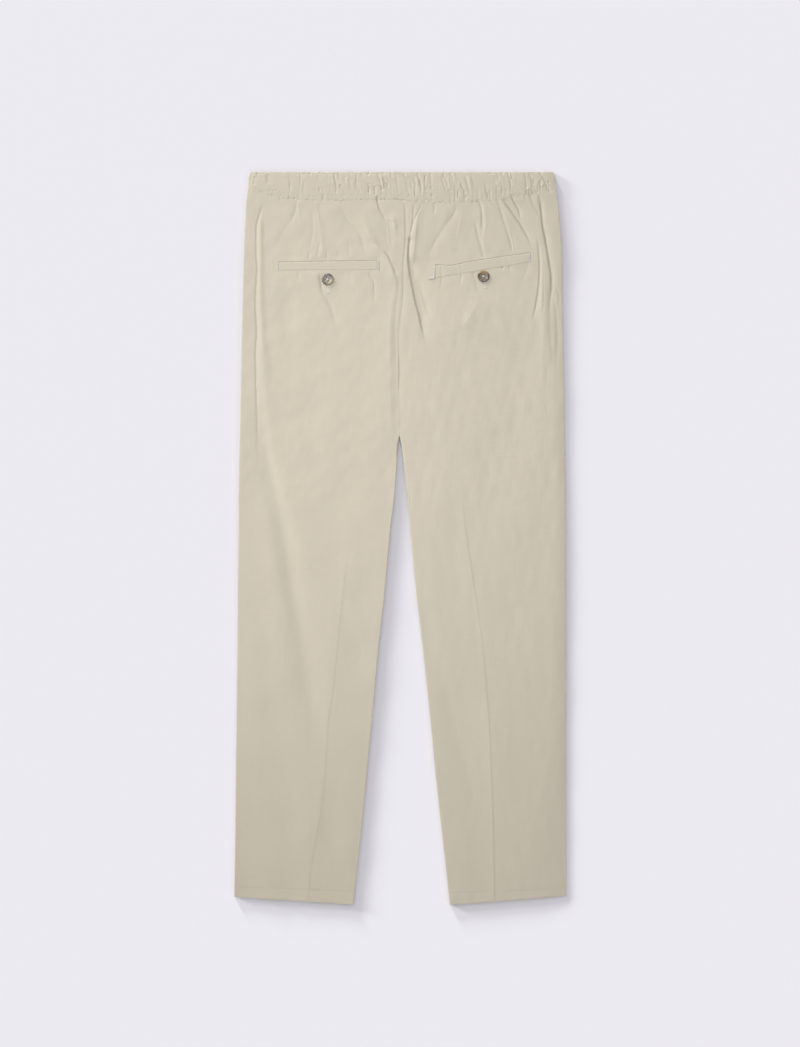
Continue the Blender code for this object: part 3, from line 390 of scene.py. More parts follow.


# The gathers of the waistband, listed one by one.
# Each gather: height, how wide it is against the usual width, then its path as (x, down).
gathers = [
    # left third: a few broad ones
    (-1.07, 1, [(-203.3, 1), (-203.8, 8), (-205.3, 14), (-206.3, 20), (-205.8, 25)]),
    (-0.78, 2.2, [(-200.2, 6), (-200.2, 11), (-201.2, 19)]),
    (0.36, 1, [(-202.3, 9), (-202.3, 15), (-202.8, 22)]),
    (-0.7, 1.2, [(-195.5, 1), (-196.5, 7)]),
    (-0.66, 3, [(-182, 2), (-181.5, 9), (-181.5, 17)]),
    (-0.16, 3, [(-168.7, 3), (-168.7, 14), (-169.7, 22)]),
    (-0.36, 1.2, [(-151.6, 1), (-151.6, 10), (-151.1, 16), (-150.6, 23), (-151.1, 30)]),
    (-0.34, 0.8, [(-150.6, 16), (-150.4, 19), (-150.6, 22)]),
    (-0.51, 1.1, [(-136.1, -2), (-136.1, 8), (-136.6, 13), (-137.6, 20)]),
    (-0.2, 1.2, [(-137, 17), (-138, 26), (-138, 34), (-138, 42)]),
    (0.23, 0.9, [(-133.7, -2), (-133.7, 8), (-133.7, 16)]),
    (-0.42, 1, [(-133, 0), (-133, 9)]),
    (-0.36, 1.6, [(-131.7, 12), (-132.7, 22), (-132.7, 32)]),
    (-0.27, 1.3, [(-112.3, 3), (-112.3, 12)]),
    (0.25, 1, [(-116.5, 5), (-115.5, 12)]),
    (-0.62, 0.9, [(-110.6, 21), (-110.3, 28)]),
    (-0.64, 1, [(-106.4, 20), (-106.2, 26), (-105.2, 31), (-104.9, 36), (-105.4, 42)]),
    (0.15, 1, [(-105.1, 17), (-104.7, 27)]),
    # between the left third and the middle
    (0.66, 1, [(-94.6, 3), (-92.9, 8), (-91.1, 13), (-90.6, 18)]),
    (-0.42, 0.8, [(-93.3, 3), (-93.3, 6)]),
    (-0.6, 0.9, [(-90, -2), (-89.6, 7), (-88.8, 11), (-88.3, 17)]),
    (-0.75, 1, [(-87.9, 15), (-87.6, 20), (-87.6, 30)]),
    (0.42, 1.2, [(-85.1, 15), (-84.8, 19), (-85.1, 23)]),
    (-0.8, 0.8, [(-82.1, 17.5), (-82.1, 21)]),
    (-0.37, 0.9, [(-84.3, 3), (-83.8, 12)]),
    (-0.42, 1, [(-76.3, 6), (-75.6, 14)]),
    (0.3, 1.1, [(-73.4, 5), (-72.4, 16), (-70.9, 22)]),
    (-0.24, 1.3, [(-70.3, 8), (-69.3, 18), (-67.8, 27)]),
    (-0.36, 1, [(-60.3, 1), (-60.3, 10), (-61.3, 17), (-61.8, 22)]),
    (-0.43, 1, [(-59.2, 10), (-59, 18), (-59.5, 27)]),
    (0.33, 1.2, [(-64.8, 10), (-64.5, 22)]),
    (-0.3, 1.2, [(-56.3, 23), (-56.3, 30)]),
    (-0.16, 1.8, [(-53.3, 0), (-52.8, 10)]),
    (-0.75, 0.8, [(-43.3, -2), (-43.1, 5)]),
    (-0.2, 1, [(-46.7, 12), (-44.2, 16)]),
    (-1, 1, [(-43.2, 19), (-43.2, 24), (-43, 30)]),
    # the middle
    (-0.25, 1, [(-39, 14), (-38.2, 19), (-38.6, 29)]),
    (-0.9, 0.9, [(-35.4, 18), (-35.2, 24), (-34.8, 33)]),
    (-0.8, 0.9, [(-32.1, -1), (-30.6, 6), (-29.1, 10), (-27.4, 13), (-26.6, 16), (-26.1, 20)]),
    (-1.38, 0.8, [(-26.7, 18), (-25.7, 22), (-25.2, 27)]),
    (1.41, 0.9, [(-27.1, 3), (-25.8, 8), (-24.6, 13), (-23.9, 18), (-23.1, 24)]),
    (-0.7, 1.1, [(-23.7, 0), (-23.3, 5)]),
    (-0.25, 1, [(-22.6, 5), (-21.1, 14), (-20.6, 21)]),
    (0.3, 0.9, [(-20, 9), (-19.4, 16)]),
    (-0.26, 0.9, [(-17.7, 22), (-17.6, 29), (-17.3, 36)]),
    (-0.68, 0.9, [(-12.6, -1), (-12.6, 9)]),
    (-0.51, 2.4, [(-6.9, 1), (-5.9, 12), (-4.4, 20)]),
    (-0.48, 1, [(-4.2, 18), (-3, 25), (-1.8, 30)]),
    (-0.34, 1.5, [(3, -1), (5.5, 6), (8, 12), (9, 18), (10, 25), (10.5, 33)]),
    (0.5, 1, [(8.5, 1), (9, 9)]),
    (-0.46, 1, [(14.5, 13), (14.9, 19), (14.8, 26)]),
    (-0.69, 0.9, [(16.9, 3), (18.9, 11), (20, 15), (20.2, 20), (20.1, 27), (20.2, 36)]),
    (0.42, 0.8, [(18.2, 26), (18.4, 35)]),
    (-0.9, 0.9, [(22.2, -1), (24.2, 6), (25.7, 10), (26.8, 14), (27.4, 18), (28.4, 22), (28.8, 26),
                 (28.5, 31)]),
    (0.6, 1.3, [(22.9, 8), (23.7, 20)]),
    (0.63, 1, [(31.2, 18), (31.2, 31)]),
    (-0.96, 0.8, [(33.7, 4), (33.7, 12), (33.8, 19)]),
    (0.47, 1.2, [(35.8, 6), (35.6, 16), (35.8, 25)]),
    (-0.45, 1, [(33.6, 18), (34.4, 22), (35.4, 27)]),
    (-0.55, 1, [(41, 0), (41.3, 10), (42, 18)]),
    (-0.31, 0.9, [(42.4, 24), (43.1, 30), (43.4, 36)]),
    # right of the middle, where they crowd and slant
    (-0.6, 0.8, [(57.9, 1), (58.2, 7)]), (0.3, 0.8, [(56.8, 3), (57.2, 8)]),
    (-0.36, 0.9, [(59.7, 0), (60, 6)]),
    (-0.54, 1, [(55.6, 7), (57.1, 12), (58.4, 16), (60, 20), (61.4, 24), (62.2, 29)]),
    (-0.33, 1, [(58.8, 4), (60.6, 8), (62.8, 13), (63.8, 19), (64.4, 22)]),
    (0.54, 1.2, [(65.4, 8), (66.1, 14), (67.4, 20), (68.9, 25)]),
    (-0.66, 0.9, [(65.4, 24), (66.6, 29)]),
    (-0.41, 0.9, [(68.4, 29), (67.9, 36), (68.1, 41), (69.2, 47)]),
    (-0.37, 0.8, [(69.2, 0), (69, 3.5)]), (-0.22, 0.8, [(66.5, 0), (66.5, 3.5)]),
    (-0.2, 0.9, [(67.6, 6), (68.1, 12)]),
    (-0.48, 0.9, [(69.4, 3), (71.2, 9), (72.3, 13), (73.1, 17)]),
    (0.35, 0.8, [(77.5, 3), (77.8, 7)]), (0.57, 0.8, [(73.8, 8), (74.6, 13)]),
    (-0.47, 0.9, [(74.3, 16), (74.6, 26), (74.7, 35), (74.8, 43)]),
    (-0.55, 0.9, [(75.4, 1), (77, 9), (78.6, 13), (79.3, 17)]),
    (-0.4, 0.9, [(77.1, 2), (79.3, 8), (81.6, 12), (83.1, 16), (84.1, 19)]),
    (0.22, 1, [(76.6, 6), (78.2, 10), (79.5, 14), (81, 20), (82.3, 25)]),
    (-1.03, 0.9, [(82.3, 16), (83.8, 20.5), (85.2, 23), (87, 24.5)]),
    (-0.95, 1, [(86.5, 24), (87.4, 30), (87.5, 40)]),
    (-0.9, 0.8, [(78.6, 24), (78.4, 30), (78.5, 36)]),
    (-0.61, 1.1, [(87, 4), (88.6, 8), (90.4, 12), (91.2, 17), (92.3, 22), (93.6, 26), (93.8, 33)]),
    (0.58, 1.2, [(93, 7), (94, 12), (95.2, 18), (96.8, 26)]),
    (-0.35, 1, [(96, 1), (96.8, 6), (98, 11), (99.1, 16), (99.5, 23)]),
    (-0.34, 0.9, [(105.4, 24), (106, 29), (106.3, 35)]),
    (-0.16, 1.5, [(104.2, 18), (104.8, 24), (105.2, 29)]),
    (-0.42, 1.4, [(114.8, 14), (115.8, 19), (116.4, 24), (116.6, 31)]),
    (0.5, 0.9, [(113.7, 24), (114.7, 30)]), (-0.29, 1, [(112.8, 23), (113.5, 29)]),
    (-0.78, 1, [(118.8, 27), (118.6, 38)]),
    (-0.77, 0.9, [(122.2, 24), (122.4, 33), (122.3, 40)]),
    (-0.33, 1.2, [(128.7, 8), (128.8, 16)]),
    (-0.52, 0.9, [(131.5, 18), (131.5, 25)]),
    (-0.51, 1.1, [(131.2, 24), (131.5, 33), (131.9, 41)]),
    (-0.39, 0.9, [(131.7, 3), (133.4, 8), (134.9, 13)]),
    (0.47, 1, [(133, 13), (133.5, 20)]),
    (-0.21, 1, [(137.6, 3), (138.4, 7)]), (-1.03, 0.9, [(139.3, -2), (139.1, 3)]),
    (-0.65, 0.9, [(138.5, 19), (138.7, 26), (138.7, 33)]),
    (-0.69, 0.9, [(144.3, 23), (144.9, 32)]), (-0.4, 0.8, [(149.7, 24.5), (149.7, 30.5)]),
    (-0.76, 1, [(145.3, -1), (147.8, 6), (149.1, 10), (150.4, 16), (150.8, 20), (150.6, 28)]),
    (0.9, 0.9, [(148.8, 2), (150.4, 7), (151.5, 11)]),
    (-0.66, 1, [(150.2, 1), (151.3, 6), (152.8, 12)]),
    (-0.3, 0.9, [(144, 32), (144, 40)]), (-0.4, 0.9, [(135.8, 33), (135.8, 37)]),
    (-0.61, 1.4, [(153.7, 20), (153.8, 28)]),
    (-0.35, 0.8, [(112.4, 30), (112.8, 37)]), (-0.3, 0.8, [(127.3, 28), (127.4, 37)]),
    (-0.4, 0.8, [(133.8, 26), (134.6, 36)]), (-0.4, 0.8, [(136.6, 26), (137, 36)]),
    (-0.45, 0.8, [(141.6, 22), (142.4, 28), (143.6, 34)]),
    # the right end
    (-0.65, 1, [(169.2, 0), (170.7, 8), (171.5, 13), (171.6, 20), (172, 26)]),
    (0.46, 0.9, [(172.1, 2), (172.8, 8)]), (0.86, 0.8, [(174, 21), (174.2, 25)]),
    (0.43, 0.8, [(174, 26), (174.3, 31)]),
    (-0.66, 0.9, [(175.3, -1), (176.9, 6), (178.5, 11), (179.6, 15), (180, 19), (179.9, 27)]),
    (-0.7, 0.9, [(181.6, 9), (182, 18)]),
    (-0.71, 0.9, [(182.8, 17), (183.3, 23), (184.4, 27), (186, 30), (187.4, 32.5)]),
    (-0.35, 1, [(186.8, 17), (186.8, 30)]),
    (-0.5, 0.8, [(173.4, 26), (175.2, 30), (177, 34)]),
    (-0.45, 0.8, [(179.4, 21), (180.4, 26), (181.8, 31)]),
    (0.4, 0.8, [(186.6, 12), (186.9, 20)]), (-0.5, 0.8, [(196.4, 17), (196.8, 23)]),
    (-1.96, 0.9, [(190, -2), (191, 3), (192.7, 6)]),
    (-1.26, 0.9, [(192, 3.5), (194.5, 9), (196.5, 12), (198.5, 16), (199.6, 20), (199.9, 26)]),
    (-0.84, 0.9, [(190.4, 9), (191.3, 18), (191.4, 26)]),
    (0.6, 0.8, [(193.2, 16), (193.2, 21)]), (-0.42, 0.8, [(194.6, 16.5), (194.6, 20.5)]),
    (-0.75, 0.9, [(202.2, 12), (202.4, 18)]), (-0.6, 0.9, [(202.2, 18), (203.1, 29)]),
    (0.5, 0.9, [(204.7, 11), (204.5, 18)]),
    (-0.23, 1.3, [(204.4, 6), (204.6, 13), (204.5, 18), (204.1, 23), (204.8, 30)]),
    (-0.41, 0.9, [(175.9, 26), (177.4, 31), (177.8, 36)]), (-0.95, 0.9, [(170.9, 26), (173.5, 31.5)]),
    (-0.9, 0.9, [(179.8, 28), (183.2, 34)]), (-0.63, 0.9, [(168.9, 32), (170.9, 37.5)]),
]
gatherShape = {"left": 0.8, "right": 1.8, "softness": 1.25, "fadeIn": 0.18, "fadeOut": 0.25}

# little pits where a thread pulls the cloth in: x, down, depth
pits = [
    (-43, 17, 1.9), (-17.2, 20, 1.6), (-17.2, 17, 0.9), (42.4, 21.5, 1.5), (43, 32, 1.1),
    (90.7, 33.5, 1.6), (-177.5, 25, 0.8), (-172.6, 25.3, 0.9), (-169, 25.3, 0.8), (-190.3, 27.5, 0.7),
    (-187.2, 28.5, 0.8), (-179, 32, 0.6), (-174, 32.2, 0.8), (-163, 33, 0.9), (-163.5, 38, 0.7),
    (-151.7, 35, 0.8), (-148, 36.2, 0.9), (-144, 36.2, 1.3), (-139, 38.3, 0.7), (-128, 38.5, 0.6),
    (-123.6, 35, 0.6), (-124, 38, 0.5), (-106, 39, 0.6), (-88, 39, 0.9), (-80, 41.6, 0.6),
    (-75, 32, 0.7), (-66, 32, 0.6), (-97.5, 32, 0.5), (-78.7, 32, 0.7), (-52.7, 37.6, 0.9),
    (-31, 38, 1.2), (-25, 37.6, 1.0), (-20, 37.6, 1.0), (-7.5, 37.6, 1.0), (3.3, 39, 1.2),
    (3.3, 31, 0.9), (2, 29, 0.7), (13, 32, 0.6), (24, 39, 0.9), (35, 38.6, 0.9), (40.3, 39.6, 0.8),
    (44, 39.8, 0.8), (47, 32, 0.7), (51, 35, 0.5), (55.2, 41.7, 0.9), (60, 40, 0.8), (63.6, 41.6, 0.8),
    (82.5, 40.6, 0.8), (88, 40.6, 0.6), (99, 41, 1.2), (104.5, 41, 0.8), (106, 40, 0.8), (141, 39, 1.1),
    (153.5, 36.5, 0.8), (161.8, 32, 0.9), (156, 33, 0.6), (167.3, 24, 1.0), (-26, 31, 0.8),
    (-30, 32.5, 0.7), (199.8, 24, 1.0), (191.5, 24.5, 0.7), (171, 38, 0.6),
    # along the top edge
    (-129, 3.5, 0.5), (-127.5, 1.8, 0.5), (-123.7, 2, 0.6), (-122, 4, 0.4), (-96, 2, 0.5),
    (-84, 2, 0.8), (-84, 4.8, 0.8), (-52.3, 4, 0.5), (-51, 1.8, 0.6), (-51, 5, 0.8), (-47, 1.8, 0.6),
    (-45.5, 4, 0.8), (-43, 3.4, 0.8), (23.8, 2, 0.8), (25.8, 3.6, 0.6), (33.4, 2, 0.6), (36.2, 2, 0.6),
    (69, 2, 0.9), (120.8, 2.2, 0.9), (123.5, 2.5, 1.1), (127.6, 2, 0.9), (130.2, 2, 0.7),
]


# a pit sinks steeply on its upper left
pitShape = {"depth": 0.75, "wide": 1.15, "softness": 1.6, "left": 1.3, "right": 0.9, "moved": (0.4, -0.2)}
# the fine pucker that both rows of stitching draw
pucker = {
    "pitch": 4.3, "sway": ((0.45, 7.0), (0.3, 3.1)), "softness": 0.8, "level": 0.6,
    "rows": ((0.785, 4.5, 0.16), (0.985, 3.5, 0.22)),  # share of the way to the seam, reach, depth
}


def pullIns(x, down):
    made = np.zeros(np.shape(x))
    for pitX, pitDown, depth in pits:
        dx, dd = x - pitX - pitShape["moved"][0], down - pitDown - pitShape["moved"][1]
        away = np.hypot(dx * np.where(dx < 0, pitShape["left"], pitShape["right"]), dd)
        made -= pitShape["depth"] * depth * bell(away, pitShape["wide"], pitShape["softness"])
    phase = x / pucker["pitch"]
    for share, wave in pucker["sway"]:
        phase = phase + share * np.sin(x / wave)
    # it comes and goes along the seam
    fine = np.abs(np.sin(math.pi * phase)) ** pucker["softness"] - pucker["level"]
    fine = fine * (0.6 + 0.4 * np.sin(x / 13.0))
    strength = 0.5 + 0.5 * np.sin(x / 19.0) ** 2
    for row, reach, depth in pucker["rows"]:
        made += depth * fine * bell(down - seamDown(x) * row, reach) * strength
    return made


def handFolds(x, down):
    # everything that is listed, for the back pieces and the waistband alike
    made = pullIns(x, down)
    for fold in (*broadFolds.values(), *backFolds.values()):
        made += foldHeight(x, down, fold)
    shape = gatherShape
    for height, wide, path in gathers:
        made += foldHeight(x, down, (height, shape["left"] * wide, shape["right"] * wide, shape["softness"],
                                     1.0, shape["fadeIn"], shape["fadeOut"], path))
    return made


# the pocket's opening starts this far over the welt's top line and ends this far inside its bottom line
opening = {"over": 0.5, "inside": 0.9, "depth": 0.80, "edge": 0.7}


def weltInset(leg, x, down):
    # how far a point is inside the pocket's opening, less than 0 outside it
    first, last = weltEnds[leg]
    above = down - lineDown(leg, "weltTop", x) + opening["over"]
    below = lineDown(leg, "weltBottom", x) - opening["inside"] - down
    return np.minimum.reduce([above, below, x - first, last - x])


def crispSeam(x):
    # the waist seam shows as a sharp line from beside the middle to the middle
    return eased((x + 48.0) / 4.0) * eased((10.0 - x) / 6.0)


# how far the side and inner edges drop, and how wide the cloth rounds over to them
edgeRolls = {
    "down": (0, 120, 200, 300, 480, 640, 800, 870, 920, 1005),
    "left drop": (0.2,) * 10, "left wide": (1.0,) * 10, "left inner": (0.05, 1.0),
    "right drop": (0.2, 0.6, 1.3, 1.4, 1.7, 1.9, 2.2, 2.2, 2.2, 2.2),
    "right wide": (8.0, 12.0, 18.0, 16.0, 17.0, 20.0, 27.0, 40.0, 46.0, 46.0), "right inner": (0.3, 1.5),
}


backShape = {
    # how far before the crotch the roll of the inner edges starts, and over what length
    "legStart": (25.0, 60.0),
    # where the legs part the edges drop, over this width, most at this distance past the crotch
    "forkDrop": 1.2, "forkRoll": 1.3, "forkPast": 12.0, "forkLong": 16.0,
    "hemDrop": 0.15, "hemRoll": 1.6, "stitchDepth": 0.22, "stitchWide": 1.2, "hemStep": 0.10,
    "hemStepWide": 3.0,
    # the folds end this close to a pocket; the unevenness fades this close to pockets, buttons and seam
    "foldsEnd": 3.0, "calm": 8.0, "calmSeam": 14.0,
    # how the top edge goes in under the waistband
    "tuckDepth": 1.5, "tuckWide": 1.6,
}


def backTop(leg, x, down):
    # height of the outer face of a back piece over the table
    shape = backShape
    sideGap = np.abs(x - outlineAt(leg + " side", down))
    innerGap = np.abs(x - outlineAt(leg + " inner", down))
    hemGap = lineDown(leg, "hem", x) - down
    legShare = eased((down - crotchDown + shape["legStart"][0]) / shape["legStart"][1])
    sideDrop, sideRoll = (np.interp(down, edgeRolls["down"], edgeRolls[leg + " " + part])
                          for part in ("drop", "wide"))
    innerDrop, innerRoll = edgeRolls[leg + " inner"]
    drop = sideDrop * rollOver(sideGap, sideRoll)
    drop += legShare * innerDrop * rollOver(innerGap, innerRoll)
    drop += shape["hemDrop"] * rollOver(hemGap, shape["hemRoll"])
    # the inner edges give way where the legs part
    drop += (shape["forkDrop"] * bell(down - crotchDown - shape["forkPast"], shape["forkLong"])
             * rollOver(innerGap, shape["forkRoll"]) * eased((down - crotchDown) / 4.0))

    inset = weltInset(leg, x, down)
    folds = handFolds(x, down) * eased(-inset / shape["foldsEnd"])
    crease = creaseShape
    folds += foldHeight(x + crease["offset"][leg], down,
                        (crease["height"][leg], crease["gentle"], crease["steep"], crease["softness"], 1.0,
                         crease["fadeIn"], crease["fadeOut"], creases[leg]))
    # the cloth lies flat under the buttons and along the pockets
    buttonGap = np.hypot(x - buttonsAt[leg][0], down - buttonsAt[leg][1]) - button["radius"]
    calm = eased(-inset / shape["calm"]) * eased(buttonGap / shape["calm"])
    calm = calm * eased((down - seamDown(x)) / shape["calmSeam"])
    for height, wavelength, seed in unevenness:
        folds += height * calm * slowWaves(x, down, seed + (leg == "right"), wavelength)

    # the hem's stitching sinks into its fold, and the doubled cloth below it sits a little lower
    stitchGap = down - lineDown(leg, "hemStitch", x)
    folds -= shape["stitchDepth"] * bell(stitchGap, shape["stitchWide"], 1.5)
    folds -= shape["hemStep"] * eased(stitchGap / shape["hemStepWide"])
    # the pocket's opening is let in
    folds -= opening["depth"] * eased(inset / opening["edge"] + 0.5)
    # the top edge tucks in under the waistband, lower where the seam shows
    below = down - seamDown(x)
    crisp = crispSeam(x)
    folds -= (0.01 + 0.03 * crisp) * bell(below - 0.3 * crisp, 0.8 + 0.3 * crisp, 1.5)
    z = np.clip(heights["flat"] - drop + folds, heights["lowest"], heights["highest"])
    return z - shape["tuckDepth"] * eased(-below / shape["tuckWide"])


def meshObject(name, points, faces):
    mesh = bpy.data.meshes.new(name)
    mesh.from_pydata([tuple(p) for p in points], [], faces)
    whole = bmesh.new()
    whole.from_mesh(mesh)
    bmesh.ops.recalc_face_normals(whole, faces=whole.faces)
    whole.to_mesh(mesh)
    whole.free()
    mesh.shade_smooth()
    mesh.set_sharp_from_angle(angle=math.radians(55))
    made = bpy.data.objects.new(name, mesh)
    bpy.context.scene.collection.objects.link(made)
    return made


def inMetres(x, down, z):
    return np.stack([x * mm, (outseam / 2 - down) * mm, z * mm], axis=-1).reshape(-1, 3)


def clothShell(name, x, down, outer, inner, every=4, tuck=0.0):
    # a closed sheet: a fine outer face, a plainer inner face that ends `tuck` sooner at the last row, and
    # the edge all round
    rows, columns = x.shape
    keptRows = sorted({*range(0, rows, every), rows - 1})
    keptColumns = sorted({*range(0, columns, every), columns - 1})
    innerDown = down.copy()
    innerDown[-1] -= tuck
    points = np.concatenate([inMetres(x, down, outer),
                             inMetres(*(a[np.ix_(keptRows, keptColumns)] for a in (x, innerDown, inner)))])
    fine = np.arange(rows * columns).reshape(rows, columns)
    plain = rows * columns + np.arange(len(keptRows) * len(keptColumns)).reshape(len(keptRows), -1)

    def quads(index):
        corners = np.stack([index[:-1, :-1], index[1:, :-1], index[1:, 1:], index[:-1, 1:]], axis=-1)
        return corners.reshape(-1, 4).tolist()

    faces = quads(fine) + [face[::-1] for face in quads(plain)]
    edges = ((fine[0], plain[0], keptColumns, True), (fine[-1], plain[-1], keptColumns, False),
             (fine[:, 0], plain[:, 0], keptRows, False), (fine[:, -1], plain[:, -1], keptRows, True))
    for outerEdge, innerEdge, kept, turned in edges:
        for k, (a, b) in enumerate(zip(kept[:-1], kept[1:])):
            face = [*outerEdge[a:b + 1].tolist(), int(innerEdge[k + 1]), int(innerEdge[k])]
            faces.append(face[::-1] if turned else face)
    return meshObject(name, points, faces)


creaseColumn = 0.6  # the share of a leg's columns on the outer side of its crease


def legGrid(leg, columns, rowLines):
    # columns run from the side to the inner edge and one follows the leg's crease
    # rows follow the given lines: each is a line's name or a distance down, more below it, rows to the next
    share = np.linspace(0.0, 1.0, columns + 1)[None, :]
    place = np.concatenate([i + np.arange(count) / count for i, (_, _, count) in enumerate(rowLines[:-1])]
                           + [[len(rowLines) - 1]])
    low = np.minimum(place.astype(int), len(rowLines) - 2)
    part = (place - low)[:, None]
    path = smoothPath(creases[leg])
    down = np.repeat(place[:, None], columns + 1, axis=1) * 90.0  # a first guess, which the loop corrects
    for _ in range(6):
        side, inner = outlineAt(leg + " side", down), outlineAt(leg + " inner", down)
        creaseX = np.interp(down, path[:, 1], path[:, 0])
        creaseShare = (creaseX - side) / (inner - side)
        warped = np.where(share < creaseColumn, share * creaseShare / creaseColumn,
                          1 - (1 - share) * (1 - creaseShare) / (1 - creaseColumn))
        x = side + (inner - side) * warped
        levels = np.stack([lineDown(leg, name, x) + more for name, more, _ in rowLines])
        across = np.arange(columns + 1)[None, :]
        row = np.arange(len(place))[:, None]
        top, bottom = levels[low[:, None], row, across], levels[low[:, None] + 1, row, across]
        down = top + (bottom - top) * part
    return x, down


def along(points, pitch):
    # evenly spaced places along a run of (x, down, z) points, each with its direction
    points = np.array(points, float)
    runs = np.linalg.norm(np.diff(points, axis=0), axis=1)
    reached = np.concatenate([[0.0], np.cumsum(runs)])
    at = np.arange(pitch / 2, reached[-1], pitch)
    places = np.stack([np.interp(at, reached, points[:, k]) for k in range(3)], axis=1)
    ahead = np.stack([np.interp(at + 0.5, reached, points[:, k]) for k in range(3)], axis=1)
    behind = np.stack([np.interp(at - 0.5, reached, points[:, k]) for k in range(3)], axis=1)
    way = ahead - behind
    return places, way / np.maximum(np.linalg.norm(way, axis=1), 1e-9)[:, None]


# where each kind of stitch starts its random draws
seeds = {"rows": 31, "loops": 35, "hems": 41, "tacks": 51, "buttonThreads": 61, "buttonholes": 71,
         "cordHoles": 91}
stitchShape = {"sides": 6, "rings": 5, "blunt": 0.92, "lengths": (0.9, 1.08), "slant": 0.05, "dip": 0.75}


def stitches(name, places, ways, length, width, lift, seed, across=False, sink=-1.0):
    # short bows of thread, one at each place, with their ends sunk in the cloth: down, or up if sink is 1
    draw = np.random.default_rng(seed)
    sides, rings = stitchShape["sides"], stitchShape["rings"]
    t = np.linspace(-1, 1, rings)[:, None]
    turn = np.linspace(0, 2 * math.pi, sides, endpoint=False)[None, :]
    bow = np.sqrt(np.maximum(1 - (stitchShape["blunt"] * t) ** 4, 0.0))
    points, faces = [], []
    for i, (place, way) in enumerate(zip(places, ways)):
        way = np.array([-way[1], way[0], 0.0]) if across else way
        aside = np.array([-way[1], way[0], 0.0])
        half = length / 2 * draw.uniform(*stitchShape["lengths"])
        slant = draw.normal(0, stitchShape["slant"])
        centre = place + np.array([0, 0, lift])
        run = centre + (way + aside * slant) * (t * half)[:, :, None].reshape(rings, 1, 1)
        ring = (aside * (np.cos(turn) * width / 2 * bow)[:, :, None]
                + np.array([0, 0, 1.0]) * (np.sin(turn) * width / 2 * bow)[:, :, None])
        dip = np.array([0, 0, sink]) * (width * stitchShape["dip"] * t ** 4)[:, :, None]
        base = len(points) * rings * sides
        points.append((run + ring + dip).reshape(-1, 3))
        for r in range(rings - 1):
            for s in range(sides):
                e = (s + 1) % sides
                faces.append([base + r * sides + s, base + r * sides + e,
                              base + (r + 1) * sides + e, base + (r + 1) * sides + s])
        faces.append([base + s for s in range(sides)][::-1])
        faces.append([base + (rings - 1) * sides + s for s in range(sides)])
    points = np.concatenate(points)
    return meshObject(name, inMetres(points[:, 0], points[:, 1], points[:, 2]), faces)


def srgb(code):
    # an sRGB hex colour, turned linear
    channels = [int(code[i:i + 2], 16) / 255 for i in (1, 3, 5)]
    return [c / 12.92 if c <= 0.04045 else ((c + 0.055) / 1.055) ** 2.4 for c in channels] + [1.0]


def addNode(tree, kind, settings=None, links=None):
    # settings name a property or an input socket of the node, links name the sockets that outputs feed
    node = tree.nodes.new(kind)
    for name, value in (settings or {}).items():
        if isinstance(name, int) or name in node.inputs:
            node.inputs[name].default_value = value
        else:
            setattr(node, name, value)
    for name, output in (links or {}).items():
        tree.links.new(output, node.inputs[name])
    return node


def newMaterial(name):
    # with its node tree and the place on the object, in metres, that patterns are laid by
    made = bpy.data.materials.new(name)
    made.use_nodes = True
    made.node_tree.nodes.clear()
    return made, made.node_tree, addNode(made.node_tree, "ShaderNodeTexCoord").outputs["Object"]


def noise(tree, place, settings):
    return addNode(tree, "ShaderNodeTexNoise", settings, {"Vector": place}).outputs["Fac"]


def mapRange(tree, value, low, high, first=0.0, last=1.0):
    # turns low to high into first to last
    return addNode(tree, "ShaderNodeMapRange",
                   {"From Min": low, "From Max": high, "To Min": first, "To Max": last},
                   {"Value": value}).outputs[0]


def surface(tree, settings, links, bump=None):
    # bump is (height, strength, depth in mm)
    if bump:
        height, strength, depth = bump
        relief = addNode(tree, "ShaderNodeBump", {"Strength": strength, "Distance": depth * mm},
                         {"Height": height})
        links["Normal"] = relief.outputs["Normal"]
    shader = addNode(tree, "ShaderNodeBsdfPrincipled", settings, links)
    addNode(tree, "ShaderNodeOutputMaterial", {}, {"Surface": shader.outputs["BSDF"]})


def mixColour(tree, share, first, second):
    # first and second are outputs or hex colours
    settings, links = {"data_type": "RGBA"}, {0: share}
    for socket, value in ((6, first), (7, second)):
        if isinstance(value, str):
            settings[socket] = srgb(value)
        else:
            links[socket] = value
    return addNode(tree, "ShaderNodeMix", settings, links).outputs[2]


linen = {
    "base": "#b6ae9e", "slub": "#b8b0a0", "shade": "#b4ac9c",
    "drawnMm": 1.5,     # threads this far apart; at the real 0.65 they would not show from a step away
    "slubMm": 24.0,     # length of a thick place in a thread
    "mottleMm": 45.45,  # size of the patches that washing leaves
    "roughness": 0.88, "sheen": 0.10, "bump": 0.05,
}


